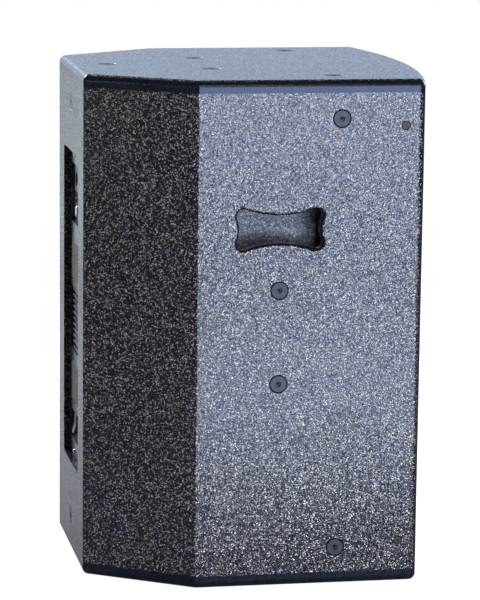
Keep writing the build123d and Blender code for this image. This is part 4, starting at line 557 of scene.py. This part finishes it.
finishes = {
    textured_paint("side_paint", "X", EDGE_ON): "side_panel_left side_panel_right",
    textured_paint("cap_paint", "Z", EDGE_ON): "top_panel bottom_panel",
    textured_paint("rear_paint", "Z", FACE_ON): "chamfer_panel_left chamfer_panel_right rear_panel",
    # the pocket's coating has a body six times lighter than the cabinet's: painted light for the shaded
    # pocket
    textured_paint("pocket_paint", "X", EDGE_ON, 0.12, 0.4, 6.0, 0.42): "handle_box_left handle_box_right",
    plywood(): "front_baffle window_brace",
    wadding(): "acoustic_damping",
    blued_screw(): "rigging_screws",
    screw_black: "grille_screws underside_screws woofer_screws horn_screws",
    zinc: "rigging_inserts woofer_top_plate woofer_back_plate amp_back_box",
    screw_plate: "amp_frame_screws",
    rubber: "rubber_feet woofer_gasket",
    socket_metal: "pole_socket",
    grille_black: "grille",
    open_foam(): "grille_foam",
    cast: "woofer_basket driver_cover",
    ferrite: "woofer_magnet driver_body",
    cone_paper(): "woofer_cone woofer_dust_cap",
    coil_wire(): "woofer_voice_coil",
    treated_cloth(): "woofer_surround woofer_spider driver_suspension",
    port_black: "port_tubes horn_flare",
    titanium: "driver_diaphragm",
    plate_black: "amp_frame input_panel mains_panel",
    label_dark: "label_plates",
    fin_metal: "heat_sink",
    circuit_board(): "amp_board",
    wound_tape(): "mains_transformer",
    socket_black: "input_jack rocker_housing voicing_switch level_potentiometer",
    moulded_with_pins("link_socket_plastic", LINK_MIDDLE, LINK_REACH, LINK_PINS_Y): "link_jack",
    moulded_with_pins("inlet_plastic", INLET_MIDDLE, INLET_REACH, INLET_PINS_Y): "mains_inlet",
    latch_bright: "input_latch",
    knob_bright: "level_knob level_shaft",
    button_grey: "voicing_button",
    rocker_black: "power_rocker",
    lamp_lens(): "indicator_lights",
    lead_black: "internal_wiring",
}
for material, names in finishes.items():
    for name in names.split():
        nodes[name].data.materials.clear()
        nodes[name].data.materials.append(material)

# ---------------------------------------------------------------- perforated grille

BOW_R, BOW_CENTRE_Y = 0.80119, 0.59819       # curve of the grille's outer face
SHEET_T = 1.5 * MM
GRILLE_HALF_W, GRILLE_BOTTOM, GRILLE_TOP = 179.5 * MM, 20.0 * MM, 588.0 * MM
LEG_END_Y, LIP_DEPTH = -0.152, 12.0 * MM
HOLE_PITCH, HOLE_R = 7.0 * MM, 3.0 * MM      # distance between holes, and a hexagonal hole's corner radius
MARGIN = 8.0 * MM                            # plain border round the holes
SUNK = 0.1 * MM                              # perforated area behind the border's face, to keep them apart
BORDER_STEPS = 48
NUT_R, NUT_LEN = 5.0 * MM, 5.0 * MM
NUT_SPOTS_Y, NUT_SPOTS_Z = -0.160, (0.0547, 0.5504)


class Mesh:
    """Vertices and faces collected for one piece, with equal vertices shared."""

    def __init__(self):
        self.points, self.faces, self.seen = [], [], {}

    def point(self, place):
        key = tuple(round(value, 7) for value in place)
        if key not in self.seen:
            self.seen[key] = len(self.points)
            self.points.append(place)
        return self.seen[key]

    def face(self, places):
        self.faces.append([self.point(place) for place in places])

    def prism(self, near, far):
        """Closed prism between two loops of corners."""
        count = len(near)
        self.face(near)
        self.face(far[::-1])
        for i in range(count):
            j = (i + 1) % count
            self.face((near[j], near[i], far[i], far[j]))


def bowed(along, depth, height):
    """Point on the grille: along its curve, behind its outer face, and height."""
    turn, radius = along / BOW_R, BOW_R - depth
    return (radius * math.sin(turn), BOW_CENTRE_Y - radius * math.cos(turn), height)


def hexagon(along, height, radius):
    """Six corners round a hole's middle, as (along, height)."""
    turns = [math.radians(30 + 60 * k) for k in range(6)]
    return [(along + radius * math.cos(turn), height + radius * math.sin(turn)) for turn in turns]


def add_holes(mesh, half_length):
    """Staggered hexagonal holes, each with its own rim in the sheet."""
    cell_r = HOLE_PITCH / math.sqrt(3)
    row_step = cell_r * 1.5
    reach, rise = half_length - cell_r, (GRILLE_TOP - GRILLE_BOTTOM) / 2 - cell_r
    middle_z = (GRILLE_TOP + GRILLE_BOTTOM) / 2
    front, back = SUNK, SHEET_T
    for row in range(-int(rise / row_step), int(rise / row_step) + 1):
        shift = HOLE_PITCH / 2 if row % 2 else 0.0
        height = middle_z + row * row_step
        for column in range(-int(reach / HOLE_PITCH) - 1, int(reach / HOLE_PITCH) + 2):
            along = column * HOLE_PITCH + shift
            if abs(along) > reach:
                continue
            outer, inner = hexagon(along, height, cell_r), hexagon(along, height, HOLE_R)
            for i in range(6):
                j = (i + 1) % 6
                corners = (outer[i], outer[j], inner[j], inner[i])
                mesh.face([bowed(a, front, z) for a, z in corners])
                mesh.face([bowed(a, back, z) for a, z in reversed(corners)])
                rim = ((inner[i], front), (inner[j], front), (inner[j], back), (inner[i], back))
                mesh.face([bowed(a, depth, z) for (a, z), depth in rim])


def add_band(mesh, ends, depths, heights):
    """Curved bar between two places along the curve."""
    span = ends[1] - ends[0]
    steps = max(1, round(BORDER_STEPS * span / (2 * GRILLE_HALF_W)))
    stations = [ends[0] + span * i / steps for i in range(steps + 1)]
    for a, b in zip(stations, stations[1:]):
        corners = [(depths[0], heights[0]), (depths[1], heights[0])]
        corners += [(depths[1], heights[1]), (depths[0], heights[1])]
        for (d0, z0), (d1, z1) in zip(corners, corners[1:] + corners[:1]):
            mesh.face([bowed(a, d0, z0), bowed(a, d1, z1), bowed(b, d1, z1), bowed(b, d0, z0)])
    for end, order in ((stations[0], 1), (stations[-1], -1)):
        mesh.face([bowed(end, d, z) for d, z in corners[::order]])


def make_grille():
    """Bowed perforated sheet with a plain border, side legs, end lips and weld nuts."""
    mesh = Mesh()
    half_length = BOW_R * math.asin(GRILLE_HALF_W / BOW_R)
    add_holes(mesh, half_length)
    full, inside = (-half_length, half_length), (-half_length + MARGIN, half_length - MARGIN)
    skin, lip = (0.0, SHEET_T + SUNK), (SHEET_T + SUNK, LIP_DEPTH)
    add_band(mesh, (full[0], inside[0]), skin, (GRILLE_BOTTOM, GRILLE_TOP))
    add_band(mesh, (inside[1], full[1]), skin, (GRILLE_BOTTOM, GRILLE_TOP))
    add_band(mesh, inside, skin, (GRILLE_BOTTOM, GRILLE_BOTTOM + MARGIN))
    add_band(mesh, inside, skin, (GRILLE_TOP - MARGIN, GRILLE_TOP))
    add_band(mesh, inside, lip, (GRILLE_BOTTOM, GRILLE_BOTTOM + SHEET_T))
    add_band(mesh, inside, lip, (GRILLE_TOP - SHEET_T, GRILLE_TOP))
    corner_y = bowed(half_length, 0.0, 0.0)[1]
    for sign in (1, -1):
        outer, inner = sign * GRILLE_HALF_W, sign * (GRILLE_HALF_W - SHEET_T)
        leg = [(outer, corner_y), (outer, LEG_END_Y), (inner, LEG_END_Y), (inner, corner_y)][::sign]
        mesh.prism([(x, y, GRILLE_BOTTOM) for x, y in leg], [(x, y, GRILLE_TOP) for x, y in leg])
        for nut_z in NUT_SPOTS_Z:
            turns = [math.radians(60 * k) for k in range(6)]
            rim = [(NUT_SPOTS_Y + NUT_R * math.cos(t), nut_z + NUT_R * math.sin(t)) for t in turns][::sign]
            mesh.prism([(inner - sign * NUT_LEN, y, z) for y, z in rim], [(inner, y, z) for y, z in rim])
    data = bpy.data.meshes.new("perforated_grille")
    data.from_pydata(mesh.points, [], mesh.faces)
    data.materials.append(grille_black)
    piece = bpy.data.objects.new("perforated_grille", data)
    bpy.context.scene.collection.objects.link(piece)
    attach(piece, "cabinet")
    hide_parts("grille")


make_grille()
